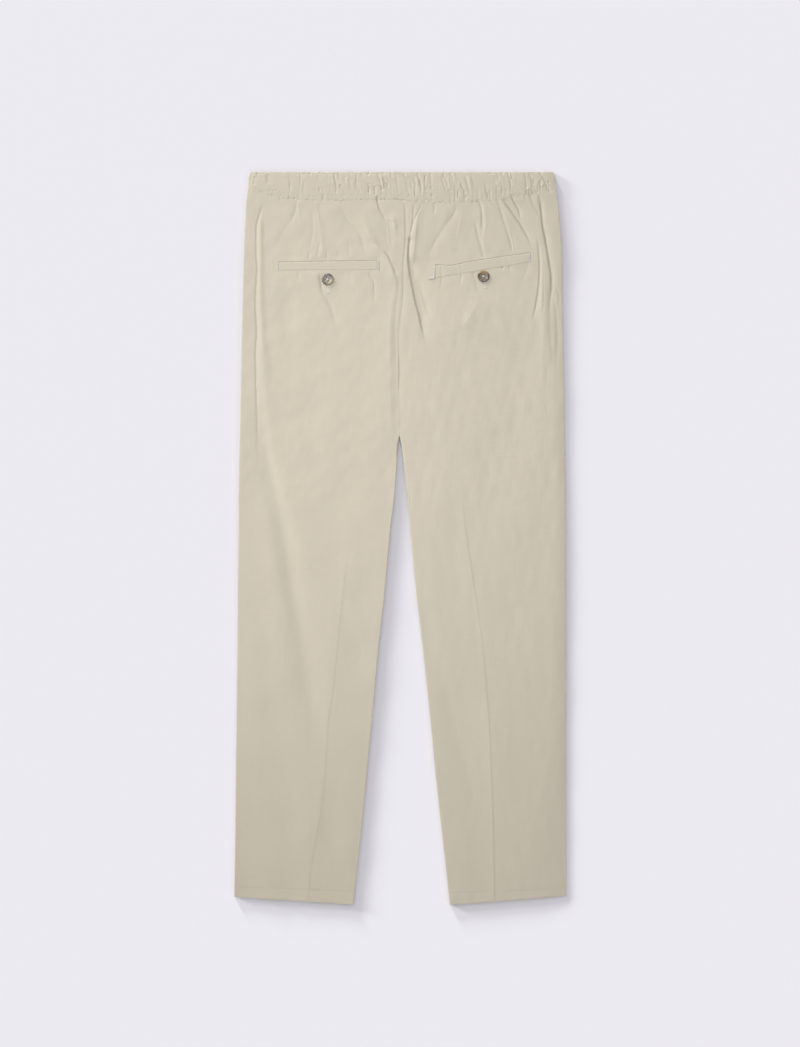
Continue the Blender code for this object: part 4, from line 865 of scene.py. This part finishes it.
def plainWovenLinen(name):
    # Linen in plain weave, garment washed and pressed: matt, with thick and thin threads that
    # show as short streaks both ways, and a faint mottle from the washing.
    made, tree, place = newMaterial(name)
    short, long = 1000.0 / linen["drawnMm"], 1000.0 / linen["slubMm"]
    streaks = []
    for scale in ((short, long, short), (long, short, short)):
        drawn = addNode(tree, "ShaderNodeMapping", {"Scale": scale}, {"Vector": place}).outputs["Vector"]
        streaks.append(noise(tree, drawn, {"Scale": 1.0, "Detail": 2.0, "Roughness": 0.6}))
    weave = addNode(tree, "ShaderNodeMath", {"operation": "ADD"}, {0: streaks[0], 1: streaks[1]}).outputs[0]
    threads = mixColour(tree, mapRange(tree, weave, 0.72, 1.28), linen["shade"], linen["slub"])
    mottle = noise(tree, place, {"Scale": 1000.0 / linen["mottleMm"], "Detail": 3.0, "Roughness": 0.55})
    cloth = mixColour(tree, mapRange(tree, mottle, 0.3, 0.7, 0.2, 0.6), threads, linen["base"])
    surface(tree, {"Roughness": linen["roughness"], "IOR": 1.5, "Sheen Weight": linen["sheen"],
                   "Sheen Roughness": 0.45, "Specular IOR Level": 0.25},
            {"Base Color": cloth}, bump=(weave, linen["bump"], 0.4))
    return made


thread = {"cloth": "#beb7a8", "pale": "#cac6c8", "shade": "#a8a194", "plyMm": 0.35, "roughness": 0.55}


def spunPolyesterThread(name, colour):
    # Spun polyester sewing thread, two plies twisted together: a slight gloss with a fine ribbing.
    made, tree, place = newMaterial(name)
    plies = noise(tree, place, {"Scale": 500.0 / thread["plyMm"], "Detail": 1.0})
    ribbed = mixColour(tree, mapRange(tree, plies, 0.5, 0.8, 0.0, 0.6), colour, thread["shade"])
    surface(tree, {"Roughness": thread["roughness"], "IOR": 1.5}, {"Base Color": ribbed},
            bump=(plies, 0.3, 0.1))
    return made


button = {
    "radius": 8.0, "bottom": 5.1, "thick": 2.1, "rimWidth": 2.2, "dishDepth": 0.7,
    "holeRadius": 0.8, "holeSpread": 1.7, "turns": 64, "holeTurns": 24, "cutterHalf": 6,
    "turned": {"left": 20.0, "right": 50.0},  # degrees that the four holes are turned by
}
horn = {
    "grainMm": 3.125, "roughness": 0.42,
    # each button's own layers: the way towards its tan patch, and the way along which both rims are dark
    "left": {"tanTo": (0.75, -0.66), "darkAlong": (0.66, 0.75), "dark": "#2b221c", "brown": "#5d524b",
             "grey": "#878079", "tan": "#8f8359"},
    "right": {"tanTo": (-0.1, 1.0), "darkAlong": (1.0, -0.05), "dark": "#1a120e", "brown": "#4b3e36",
              "grey": "#74675c", "tan": "#93794a"},
}


def polishedHorn(name, leg):
    # Buffalo horn, turned and polished: streaky brown and grey layers under a soft gloss.
    made, tree, place = newMaterial(name)
    layers = horn[leg]
    # the layers are drawn about the button's own middle, in its radii
    middle = (buttonsAt[leg][0] * mm, (outseam / 2 - buttonsAt[leg][1]) * mm, 0.0)
    local = addNode(tree, "ShaderNodeVectorMath", {"operation": "SUBTRACT", 1: middle},
                    {0: place}).outputs[0]
    unit = addNode(tree, "ShaderNodeVectorMath", {"operation": "SCALE", "Scale": 1000.0 / button["radius"]},
                   {0: local}).outputs[0]
    grain = noise(tree, unit, {"Scale": button["radius"] / horn["grainMm"], "Detail": 4.0,
                               "Distortion": 1.4})

    def across(way):
        # how far a point lies along a direction
        return addNode(tree, "ShaderNodeVectorMath", {"operation": "DOT_PRODUCT", 1: (*way, 0.0)},
                       {0: unit}).outputs["Value"]

    tanSide = addNode(tree, "ShaderNodeMath", {"operation": "MULTIPLY_ADD", 1: 0.9},
                      {0: grain, 2: across(layers["tanTo"])}).outputs[0]
    along = addNode(tree, "ShaderNodeMath", {"operation": "ABSOLUTE"},
                    {0: across(layers["darkAlong"])}).outputs[0]
    darkSide = addNode(tree, "ShaderNodeMath", {"operation": "POWER", 1: 2.2}, {0: along}).outputs[0]
    streaks = mixColour(tree, mapRange(tree, grain, 0.32, 0.62), layers["brown"], layers["grey"])
    tanned = mixColour(tree, mapRange(tree, tanSide, 0.65, 1.15, 0.0, 0.9), streaks, layers["tan"])
    layered = mixColour(tree, mapRange(tree, darkSide, 0.40, 0.72, 0.0, 0.95), tanned, layers["dark"])
    surface(tree, {"Roughness": horn["roughness"], "IOR": 1.55, "Coat Weight": 0.25,
                   "Coat Roughness": 0.15}, {"Base Color": layered})
    return made


table = {"colour": "#f0eef5", "roughness": 0.8, "rollerMm": 2.5, "halfM": 6.0}


def mattPaintedTable():
    # A table in matt emulsion paint: plain, with a trace of roller texture.
    made, tree, place = newMaterial("mattPaintedTable")
    roller = noise(tree, place, {"Scale": 1000.0 / table["rollerMm"], "Detail": 2.0})
    surface(tree, {"Base Color": srgb(table["colour"]), "Roughness": table["roughness"],
                   "Specular IOR Level": 0.1}, {}, bump=(roller, 0.02, 0.2))
    return made


# the camera looks straight down; tallMm is what the picture's long side covers at the cloth
view = {"lensMm": 85.0, "sensorMm": 36.0, "tallMm": 1428.4, "aimMm": (0.3, 20.5), "clothTopMm": 4.0}
light = {
    # a soft window light from the upper left draws the folds; lower ones from the left and from the top lay
    # the shadow on the table, and weak high ones open it beside the cloth
    "window": {"from": (-1.0, 1.0), "elevation": 20.0, "softness": 26.0, "level": 0.35},
    "tableLeft": {"from": (-1.0, 0.5), "elevation": 9.0, "softness": 9.0, "level": 0.15},
    "tableTop": {"from": (-0.5, 1.0), "elevation": 8.5, "softness": 8.5, "level": 0.15},
    "tableSky": {"from": (-0.8, 1.05), "elevation": 38.0, "softness": 30.0, "level": 0.03},
    "tableFill": {"from": (1.0, -0.8), "elevation": 40.0, "softness": 30.0, "level": 0.055},
    "roomStrength": 0.58,
    # a gridded softbox lifts the cloth alone, most at the seat
    "gridFrom": (-0.50, 0.62, 1.90), "gridAim": (-0.14, 0.17, 0.0), "gridSize": 0.8, "gridSpread": 52.5,
    "gridPower": 1.95,
}


def addCamera():
    data = bpy.data.cameras.new("camera")
    data.lens, data.sensor_width = view["lensMm"], view["sensorMm"]
    made = bpy.data.objects.new("camera", data)
    away = view["tallMm"] * view["lensMm"] / view["sensorMm"] + view["clothTopMm"]
    made.location = (view["aimMm"][0] * mm, view["aimMm"][1] * mm, away * mm)
    bpy.context.scene.collection.objects.link(made)
    bpy.context.scene.camera = made


def pointAt(thing, where, aim):
    thing.location = where
    thing.rotation_euler = (Vector(aim) - Vector(where)).to_track_quat("-Z", "Y").to_euler()


def addWindow(name, receivers):
    # a sun lamp whose level is the light that it lays on a level surface
    window = light[name]
    elevation = math.radians(window["elevation"])
    data = bpy.data.lights.new(name, "SUN")
    data.energy = math.pi * window["level"] / math.sin(elevation)
    data.angle = math.radians(window["softness"])
    made = bpy.data.objects.new(name, data)
    across, up = window["from"]
    pointAt(made, (across, up, math.hypot(across, up) * math.tan(elevation)), (0.0, 0.0, 0.0))
    bpy.context.scene.collection.objects.link(made)
    made.light_linking.receiver_collection = receivers


def addLight(cloth, surroundings):
    addWindow("window", cloth)
    for name in ("tableLeft", "tableTop", "tableSky", "tableFill"):
        addWindow(name, surroundings)

    data = bpy.data.lights.new("softbox", "AREA")
    data.shape, data.size, data.energy = "DISK", light["gridSize"], light["gridPower"]
    data.spread = math.radians(light["gridSpread"])
    made = bpy.data.objects.new("softbox", data)
    pointAt(made, light["gridFrom"], light["gridAim"])
    bpy.context.scene.collection.objects.link(made)
    made.light_linking.receiver_collection = cloth

    world = bpy.data.worlds.new("room")
    world.use_nodes = True
    world.node_tree.nodes["Background"].inputs["Color"].default_value = srgb("#ffffff")
    world.node_tree.nodes["Background"].inputs["Strength"].default_value = light["roomStrength"]
    bpy.context.scene.world = world


def addTable():
    half = table["halfM"]
    made = meshObject("table", [(-half, -half, 0), (half, -half, 0), (half, half, 0), (-half, half, 0)],
                      [(0, 1, 2, 3)])
    made.data.materials.append(mattPaintedTable())
    surroundings.objects.link(made)


garment, surroundings = (bpy.data.collections.new(name) for name in ("garment", "surroundings"))
for group in (garment, surroundings):
    bpy.context.scene.collection.children.link(group)
addCamera()
addLight(garment, surroundings)
addTable()
bpy.context.scene.view_settings.view_transform = "Standard"
print("camera, light and table are in place")

linenCloth = plainWovenLinen("plainWovenLinen")
clothThread = spunPolyesterThread("clothColouredThread", thread["cloth"])
paleThread = spunPolyesterThread("paleThread", thread["pale"])


def dress(piece, material, slot, *nodes):
    # gives a piece its material and its place in the frame
    garment.objects.link(piece)
    piece.data.materials.clear()
    piece.data.materials.append(material)
    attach(piece, "root")
    if nodes:
        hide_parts(*nodes)


backPieces = {
    "columns": 252,
    "rowLines": (("seam", -2.6, 4), ("seam", 0.0, 5), ("seam", 3.0, 60), ("weltTop", -2.0, 6),
                 ("weltTop", 0.6, 5), ("weltBottom", -0.8, 5), ("weltBottom", 1.4, 92), (252, 0.0, 60),
                 (450, 0.0, 46), ("hemStitch", -4.0, 14), ("hemStitch", 4.0, 12), ("hem", 0.0, 0)),
    # the underside keeps this far off the front, this far at the seams, and ends this much before the hem
    "overFront": 0.15, "seamGap": 0.1, "tuck": 0.35,
    "flat": (0.33, 1.03), "area": 0.232,
}


def underBack(down, outer):
    # the inner face of the cloth: its own wall below the outer one, and down to the front at the side seam
    inner = np.maximum(outer - wall, heights["front"] + backPieces["overFront"])
    atSeam = heights["front"] + backPieces["seamGap"]
    inner[:, 0] = atSeam
    inner[:, -1] = np.where(down[:, -1] > crotchDown, atSeam, inner[:, -1])
    return inner


def addBackPiece(leg):
    x, down = legGrid(leg, backPieces["columns"], backPieces["rowLines"])
    outer = backTop(leg, x, down)
    made = clothShell("backPiece_" + leg, x, down, outer, underBack(down, outer), tuck=backPieces["tuck"])
    dress(made, linenCloth, "linen", "back_" + leg)
    return made


for leg in ("left", "right"):
    made = addBackPiece(leg)
    print("back piece", leg, "has", len(made.data.polygons), "faces")


backBand = {
    "columns": 640, "rows": 52,
    # down the band: share of the way, and height of the cloth between the gathers
    "profile": {"share": (0.0, 0.012, 0.05, 0.15, 0.45, 0.75, 0.93, 1.0),
                "height": (5.0, 5.25, 5.4, 5.55, 5.6, 5.35, 5.05, 4.9)},
    "endRoll": 11.0, "endTop": 4.5, "lip": 0.08,
    # the row of edge stitching: how far under the top edge, half width, depth
    "edgeStitch": (2.3, 0.9, 0.13),
    # how uneven it is: height, how much the waves are stretched down it, seed, length
    "waves": ((0.05, 0.4, 9, 13.0), (0.03, 0.5, 10, 5.0)),
    # the top edge waves a little: how far down it lies, then the height and length of its waves
    "edgeDown": 0.25, "edgeWaves": ((0.18, 3.3), (0.12, 1.7)),
    "under": 2.3, "flat": (0.46, 0.042),
}


def bandTop(share, x, down):
    # height of the back waistband: share goes down it
    profile = backBand["profile"]
    z = np.interp(share, profile["share"], profile["height"]) + handFolds(x, down)
    for height, stretch, seed, wave in backBand["waves"]:
        z = z + height * slowWaves(x, down * stretch, seed, wave)
    stitchDown, stitchWide, stitchDepth = backBand["edgeStitch"]
    z = z - stitchDepth * bell(down - stitchDown, stitchWide)
    # the lip where the seam is stitched from above
    z = z + backBand["lip"] * crispSeam(x) * bell(share - 0.965, 0.03)
    fromEnd = np.minimum(x - x[:, :1], x[:, -1:] - x)
    z = z - np.maximum(z - backBand["endTop"], 0.0) * rollOver(fromEnd, backBand["endRoll"])
    return np.clip(z, heights["lowest"] + 1.0, heights["highest"])


def bandGrid():
    share = np.concatenate([np.linspace(0, 0.03, 4, endpoint=False),
                            np.linspace(0.03, 1.0, backBand["rows"] - 3)])[:, None]
    across = np.linspace(0.0, 1.0, backBand["columns"] + 1)[None, :]
    down = share * 30.0 + 0.0 * across  # a first guess, which the loop corrects
    for _ in range(4):
        left, right = outlineAt("left side", down), outlineAt("right side", down)
        x = left + (right - left) * across
        edge = backBand["edgeDown"]
        for height, wave in backBand["edgeWaves"]:
            edge = edge + height * np.sin(x / wave)
        down = (seamDown(x) - bandGap) * share + edge * (1 - share) ** 8
    return share, x, down, bandTop(share, x, down)


bandShare, bandX, bandDown, bandZ = bandGrid()
bandUnder = np.maximum(bandZ - wall, backBand["under"])
bandUnder[:, (0, -1)] = backBand["under"]
band = clothShell("waistbandGathered", bandX, bandDown, bandZ, bandUnder)
dress(band, linenCloth, "linen", "waistband_back")
print("waistband has", len(band.data.polygons), "faces")


def bandRow(share):
    # the run of points across the band at one share of its height
    rows = bandShare[:, 0]
    grids = (bandX, bandDown, bandZ)
    return np.stack([[np.interp(share, rows, column) for column in grid.T] for grid in grids], axis=1)


stitching = {"pitch": 2.6, "length": 2.0, "width": 0.42, "lift": -0.06}


def addRow(name, points, seed):
    places, ways = along(points, stitching["pitch"])
    made = stitches(name, places, ways, stitching["length"], stitching["width"], stitching["lift"], seed)
    dress(made, clothThread, "linen")


bandRows = {"waistStitchUpper": 0.785, "waistStitchLower": 0.972}  # share of the way down to the seam
for k, (name, share) in enumerate(bandRows.items()):
    addRow(name, bandRow(share)[4:-4], seeds["rows"] + k)

paleLoop = {"length": 1.6, "width": 0.75, "lift": 0.1, "slant": 0.7}
# where a loop of the pale bobbin thread shows between the stitches: x, down
paleLoops = [
    (-189, 28.6), (-172.5, 24), (-179.4, 30.3), (-153.5, 34.8), (-136.5, 33), (-80, 38.0), (-51, 36.2),
    (28, 39.0), (11.5, 37.6), (14.2, 38.2), (56.6, 40.2), (62, 40.6), (66, 40.7), (80.8, 40.2),
    (84.8, 39.9), (165.6, 25), (160.3, 30.8), (7.5, 31.8), (-118.4, 31), (-116.5, 31.2), (-95, 30.5),
    (-73, 31), (46, 39.6), (-36.5, 35.4), (-29, 36), (-22, 35.8), (-17, 35.9), (-9, 36), (0.5, 35.9),
    (-7.5, 33.6), (53.6, 41), (193, 18.6), (197.2, 25.2), (133.6, 36.2),
]
loopX, loopDown = np.array(paleLoops, float).T
nearest = np.array([np.argmin(np.hypot(bandX - x, bandDown - down)) for x, down in zip(loopX, loopDown)])
loopPlaces = np.column_stack([loopX, loopDown, bandZ.ravel()[nearest] + paleLoop["lift"]])
loopWays = np.column_stack([np.ones(len(loopX)), np.sin(loopX) * paleLoop["slant"], np.zeros(len(loopX))])
loops = stitches("paleLoops", loopPlaces, loopWays, paleLoop["length"], paleLoop["width"], 0.0,
                 seeds["loops"])
dress(loops, paleThread, "linen")


hems = {"down": 982.0, "fromEdge": 2.5, "points": 90}

for k, leg in enumerate(("left", "right")):
    ends = sorted(outlineAt(leg + part, hems["down"]) for part in (" side", " inner"))
    hemX = np.linspace(ends[0] + hems["fromEdge"], ends[1] - hems["fromEdge"], hems["points"])
    hemDown = lineDown(leg, "hemStitch", hemX)
    hemRow = np.stack([hemX, hemDown, backTop(leg, hemX, hemDown)], axis=1)
    addRow("hemStitch_" + leg, hemRow, seeds["hems"] + k)
print("waistband and hems are stitched")


welts = {
    "columns": 120, "rows": 22, "top": 5.15, "thick": 1.0, "fromEnd": 0.4,
    # the edge drops by this much within this distance, and the face leans by this much across the welt
    "edgeDrop": 0.55, "round": 0.9, "lean": 0.25,
    "waves": (0.05, 8, 30.0),  # height, seed, length
    # creases that cross each welt: x at its top, x at its bottom, depth
    "creases": {"left": ((-114, -112, 0.12), (-62, -60, 0.1)),
                "right": ((57, 57.5, 0.3), (76, 79, 0.25), (83, 84.5, 0.3), (110, 112, 0.12),
                          (137, 141, 0.25), (146, 149, 0.3))},
    "creaseWide": 1.2, "creaseSoftness": 1.3,
    "flat": (0.140, 0.0155),
}


def crowded(count):
    # from 0 to 1 in steps that get finer towards both ends
    return 0.5 - 0.5 * np.cos(np.linspace(0, math.pi, count + 1))


def addWelt(leg):
    first, last = weltEnds[leg]
    fromEnd = welts["fromEnd"]
    spread = 0.25 * crowded(welts["columns"]) + 0.75 * np.linspace(0, 1, welts["columns"] + 1)
    row = first + fromEnd + (last - first - 2 * fromEnd) * spread
    x = np.repeat(row[None, :], welts["rows"] + 1, axis=0)
    share = crowded(welts["rows"])[:, None]
    top, bottom = lineDown(leg, "weltTop", x), lineDown(leg, "weltBottom", x)
    down = top + (bottom - top) * share
    edge = np.minimum.reduce([down - top, bottom - down, x - first, last - x])
    outer = welts["top"] - welts["edgeDrop"] * rollOver(edge, welts["round"])
    height, seed, wave = welts["waves"]
    outer = outer + height * slowWaves(x, down, seed, wave)
    for topX, bottomX, depth in welts["creases"][leg]:
        away = x - topX - (bottomX - topX) * share
        outer = outer - depth * bell(away, welts["creaseWide"], welts["creaseSoftness"])
    # the opening's edge stands a hair above the panel, and the sewn edge lies level with it
    outer = outer + welts["lean"] * (0.5 - share)
    inner = np.full(x.shape, welts["top"] - welts["thick"])
    made = clothShell("pocketWelt_" + leg, x, down, outer, inner)
    dress(made, linenCloth, "linen", "welt_" + leg)


tackThread = {"pitch": 0.5, "width": 0.5}


def addTack(name, start, end, seed, width=1.7, lift=0.25, top=5.2, sink=-1.0):
    # a bar tack: close stitches across a short line
    places, ways = along([(*start, top), (*end, top)], tackThread["pitch"])
    made = stitches(name, places, ways, width, tackThread["width"], lift, seed, across=True, sink=sink)
    dress(made, paleThread, "linen")


# a bar tack at each end of a welt: where it starts and ends
tacks = {
    "leftStart": ((-166.9, 122.2), (-166.9, 134.7)), "leftEnd": ((-29.3, 119.6), (-29.2, 133.8)),
    "rightStart": ((47.6, 127.6), (46.8, 145.0)), "rightStartFoot": ((46.6, 145.0), (38.5, 145.4)),
    "rightEnd": ((176.8, 110.2), (177.2, 122.6)),
}
for leg in ("left", "right"):
    addWelt(leg)
for k, (name, (start, end)) in enumerate(tacks.items()):
    addTack("tack_" + name, start, end, seeds["tacks"] + k)
print("welts and tacks are in place")


def turnedObject(name, profile, turns):
    # a closed shape turned about z, its profile running from the top's middle round to the bottom's
    points, faces = [], []
    for radius, height in profile:
        for t in range(turns):
            angle = 2 * math.pi * t / turns
            points.append((radius * math.cos(angle) * mm, radius * math.sin(angle) * mm, height * mm))
    for r in range(len(profile) - 1):
        for t in range(turns):
            u = (t + 1) % turns
            faces.append([r * turns + t, r * turns + u, (r + 1) * turns + u, (r + 1) * turns + t])
    faces.append(list(range(turns)))
    faces.append([(len(profile) - 1) * turns + t for t in range(turns)])
    return meshObject(name, points, faces)


def buttonProfile():
    # from the middle of the dish, over the rim and round to the middle of the flat underside
    rim, dish = button["thick"], button["thick"] - button["dishDepth"]
    edge, inner = button["radius"], button["radius"] - button["rimWidth"]
    return [(0.4, dish), (inner - 1.6, dish), (inner - 0.5, dish + 0.12), (inner + 0.15, rim - 0.22),
            (inner + 0.6, rim), (edge - 0.9, rim - 0.03), (edge - 0.25, rim - 0.35), (edge, rim - 0.85),
            (edge - 0.12, rim - 1.4), (edge - 0.8, 0.22), (edge - 1.6, 0.0), (0.4, 0.0)]


# strands beside each other cross from hole to hole, and the second bundle lies over the first
buttonThread = {"strands": (-0.36, 0.0, 0.36), "width": 0.42, "overDish": 0.18, "crossing": 0.3,
                "past": 0.5}


def addButton(leg, seed):
    made = turnedObject("hornButton_" + leg, buttonProfile(), button["turns"])
    angles = np.radians(button["turned"][leg] + 90 * np.arange(4))
    ways = [np.array([math.cos(angle), math.sin(angle)]) for angle in angles]
    holeProfile = [(button["holeRadius"], end * button["cutterHalf"]) for end in (1, -1)]
    cutters = []
    for way in ways:
        cutter = turnedObject("cutter", holeProfile, button["holeTurns"])
        cutter.location = (*(way * button["holeSpread"] * mm), 0)
        cut = made.modifiers.new("hole", "BOOLEAN")
        cut.operation, cut.solver, cut.object = "DIFFERENCE", "EXACT", cutter
        cutters.append(cutter)
    bpy.context.view_layer.update()
    made.data = bpy.data.meshes.new_from_object(made.evaluated_get(bpy.context.evaluated_depsgraph_get()))
    made.modifiers.clear()
    for cutter in cutters:
        bpy.data.objects.remove(cutter)
    x, down = buttonsAt[leg]
    made.data.transform(Matrix.Translation((x * mm, (outseam / 2 - down) * mm, button["bottom"] * mm)))
    dress(made, polishedHorn("polishedHorn_" + leg, leg), "horn", "button_" + leg)

    top = button["bottom"] + button["thick"] - button["dishDepth"] + buttonThread["overDish"]
    places, runs = [], []
    for k in (0, 1):
        way = np.array([ways[k][0], -ways[k][1], 0.0])
        aside = np.array([-way[1], way[0], 0.0])
        for shift in buttonThread["strands"]:
            places.append(np.array([x, down, top + buttonThread["crossing"] * k]) + aside * shift)
            runs.append(way)
    length = 2 * button["holeSpread"] + buttonThread["past"]
    made = stitches("buttonThread_" + leg, places, runs, length, buttonThread["width"], 0.0, seed)
    dress(made, paleThread, "linen")


# from the welt down past the button, where its lower end shows
buttonholes = {
    "left": ((-99.2, 138.0), (-96.5, 164.5)), "right": ((113.0, 139.0), (117.0, 158.0)),
    # its two rows of stitches: how far from the slit, their pitch, length and width, and how high they lie
    "edge": 0.95, "pitch": 0.55, "length": 1.5, "width": 0.5, "lift": 0.05, "points": 40,
    # the tack across its end: half its length, how far past the slit, its width
    "tackHalf": 1.7, "tackPast": 0.4, "tackWidth": 1.3,
}


def addButtonhole(leg, seed):
    hole = buttonholes
    start, end = (np.array(p) for p in hole[leg])
    way = (end - start) / np.linalg.norm(end - start)
    aside = np.array([-way[1], way[0]])
    for k, side in enumerate((-1, 1)):
        at = np.linspace(start, end, hole["points"]) + aside * side * hole["edge"]
        points = np.column_stack([at, backTop(leg, at[:, 0], at[:, 1])])
        places, ways = along(points, hole["pitch"])
        made = stitches("buttonhole_%s_%d" % (leg, k + 1), places, ways, hole["length"], hole["width"],
                        hole["lift"], seed + k, across=True)
        dress(made, paleThread, "linen")
    z = float(backTop(leg, end[:1], end[1:])[0])
    tip = end + way * hole["tackPast"]
    start, end = (tuple(tip + aside * side * hole["tackHalf"]) for side in (-1, 1))
    addTack("buttonholeEnd_" + leg, start, end, seed + 5, width=hole["tackWidth"], top=z)


for k, leg in enumerate(("left", "right")):
    addButton(leg, seeds["buttonThreads"] + k)
    addButtonhole(leg, seeds["buttonholes"] + 10 * k)
print("buttons and buttonholes are in place")


# the fronts lie face down on the table, pressed flat, with shallow creases
fronts = {
    "columns": 96,
    "rowLines": (("seam", 0.3, 40), (120, 0.0, 48), (300, 0.0, 40), (450, 0.0, 50),
                 ("hemStitch", -4.0, 8), ("hemStitch", 4.0, 6), ("hem", -0.8, 0)),
    "rise": 0.12, "highest": 0.75,
    "waves": {"left": (0.10, 13, 70.0), "right": (0.10, 14, 70.0)},  # height, seed, length
    "crease": (-0.7, 1.4, 6.0, 1.2, 1.0, 0.1, 0.01), "creaseShare": 0.5,
    # gathers run down from the waist seam, each with its own length
    "gathers": {"from": -196.0, "to": 205.0, "pitch": 22.0, "height": 0.32, "wide": 1.8, "softness": 1.4,
                "sway": 5.0, "slope": 0.1, "shortest": 26.0, "longer": 30.0},
    # the edges bend up to the backs: how far, and over how many millimetres
    "sideRoll": (0.5, 3.0), "innerRoll": (0.4, 2.0),
    "stitchDepth": 0.25, "stitchWide": 1.2,
    "flat": (0.31, 1.0), "area": 0.215,
}


def frontUnder(leg, x, down):
    # height of the outer face of a front piece over the table
    innerGap = np.abs(x - outlineAt(leg + " inner", down))
    sideGap = np.abs(x - outlineAt(leg + " side", down))
    below = down - seamDown(x)
    height, seed, wave = fronts["waves"][leg]
    z = fronts["rise"] + height * slowWaves(x, down, seed, wave)
    z = z - fronts["creaseShare"] * foldHeight(x, down, (*fronts["crease"], creases[leg]))
    gather = fronts["gathers"]
    for i, seamX in enumerate(np.arange(gather["from"], gather["to"], gather["pitch"])):
        length = gather["shortest"] + gather["longer"] * ((i * 5) % 4) / 3
        middle = seamX + gather["sway"] * math.sin(i * 2.3) + below * gather["slope"]
        fade = eased(1.0 - below / length)
        z = z + gather["height"] * bell(x - middle, gather["wide"], gather["softness"]) * fade
    for gap, (height, wide) in ((sideGap, fronts["sideRoll"]), (innerGap, fronts["innerRoll"])):
        z = z + height * rollOver(gap, wide)
    z = z + fronts["stitchDepth"] * bell(down - lineDown(leg, "hemStitch", x), fronts["stitchWide"])
    return np.clip(z, heights["contact"], fronts["highest"])


for leg in ("left", "right"):
    x, down = legGrid(leg, fronts["columns"], fronts["rowLines"])
    inner = np.full(x.shape, heights["front"])
    made = clothShell("frontPiece_" + leg, x, down, frontUnder(leg, x, down), inner)
    dress(made, linenCloth, "linen", "front_" + leg)
print("front pieces are in place")


# the front half of the waistband has the two buttonholes that the cord comes out of
frontBand = {
    "thick": 2.0, "rows": 44, "sideDown": 23.0,  # how far down the seam meets the sides
    "holeX": (-18.0, 18.0), "holeDown": 19.0, "holeLength": 15.0, "holeWidth": 3.0, "holeDepth": 1.3,
    # columns are closer together about the buttonholes: half the width of such a strip, then how many
    # columns each of the five parts has
    "strip": 3.5, "columns": (150, 28, 30, 28, 150),
    "rise": 0.10, "waves": (0.08, 15, 40.0),     # height, seed, length
    "gathers": {"from": -198.0, "to": 204.0, "pitch": 11.0, "height": 0.55, "wide": 1.3, "softness": 1.3,
                "sway": 3.0, "bend": 1.5},
    "stitchDepth": 0.3, "stitchWide": 0.8, "tall": 38.0,
    "patch": 7.0,                                # flat cloth about a buttonhole
    "tack": {"out": 0.7, "width": 1.4, "top": 0.27},
    "flat": (0.46, 0.042),
}


def frontBandGrid():
    share = np.linspace(0, 1, frontBand["rows"] + 1)[:, None]
    down = share * frontBand["sideDown"]
    marks = [outlineAt("left side", down)]
    for hole in frontBand["holeX"]:
        marks += [np.full(down.shape, hole + side * frontBand["strip"]) for side in (-1, 1)]
    marks.append(outlineAt("right side", down))
    parts = []
    for first, last, count in zip(marks[:-1], marks[1:], frontBand["columns"]):
        parts.append(first + (last - first) * np.arange(count)[None, :] / count)
    x = np.concatenate([*parts, marks[-1]], axis=1)
    return share, x, share * (seamDown(x) - bandGap)


def frontBandUnder(share, x, down):
    # height of the outer face of the front band over the table
    height, seed, wave = frontBand["waves"]
    z = frontBand["rise"] + height * slowWaves(x, down, seed, wave)
    gather = frontBand["gathers"]
    for i, start in enumerate(np.arange(gather["from"], gather["to"], gather["pitch"])):
        middle = start + gather["sway"] * math.sin(i * 2.1) + gather["bend"] * np.sin(share * 4.0 + i)
        # the gathers are half as high below the upper row of stitching
        strength = gather["height"] * (1.0 - 0.5 * eased((share - 0.6) / 0.2))
        z = z + strength * bell(x - middle, gather["wide"], gather["softness"])
    for row in bandRows.values():
        z = z + frontBand["stitchDepth"] * bell((share - row) * frontBand["tall"], frontBand["stitchWide"])
    for hole in frontBand["holeX"]:
        # the buttonhole and the flat patch about it
        patch = frontBand["patch"]
        acrossGap, downGap = np.abs(x - hole), np.abs(down - frontBand["holeDown"])
        z = z * eased(np.hypot(acrossGap / patch, np.maximum(downGap - patch, 0.0) / patch) - 0.4)
        across = (frontBand["holeWidth"] / 2 - acrossGap) / 0.3 + 0.5
        lengthwise = (frontBand["holeLength"] / 2 - downGap) / 0.5 + 0.5
        z = z + frontBand["holeDepth"] * eased(np.minimum(across, lengthwise))
    return np.clip(z, heights["contact"], frontBand["holeDepth"])


share, x, down = frontBandGrid()
inner = np.full(x.shape, frontBand["thick"])
made = clothShell("waistbandFront", x, down, frontBandUnder(share, x, down), inner)
dress(made, linenCloth, "linen", "waistband_front")
for k, hole in enumerate(frontBand["holeX"]):
    half = frontBand["holeLength"] / 2
    tack = frontBand["tack"]
    for side, letter in ((-1, "a"), (1, "b")):
        edge = hole + side * (frontBand["holeWidth"] / 2 + tack["out"])
        start, end = ((edge, frontBand["holeDown"] + way * half) for way in (-1, 1))
        addTack("cordHole_%d%s" % (k + 1, letter), start, end, seeds["cordHoles"] + 2 * k,
                width=tack["width"], lift=0.0, top=tack["top"], sink=1.0)
print("front waistband is in place")
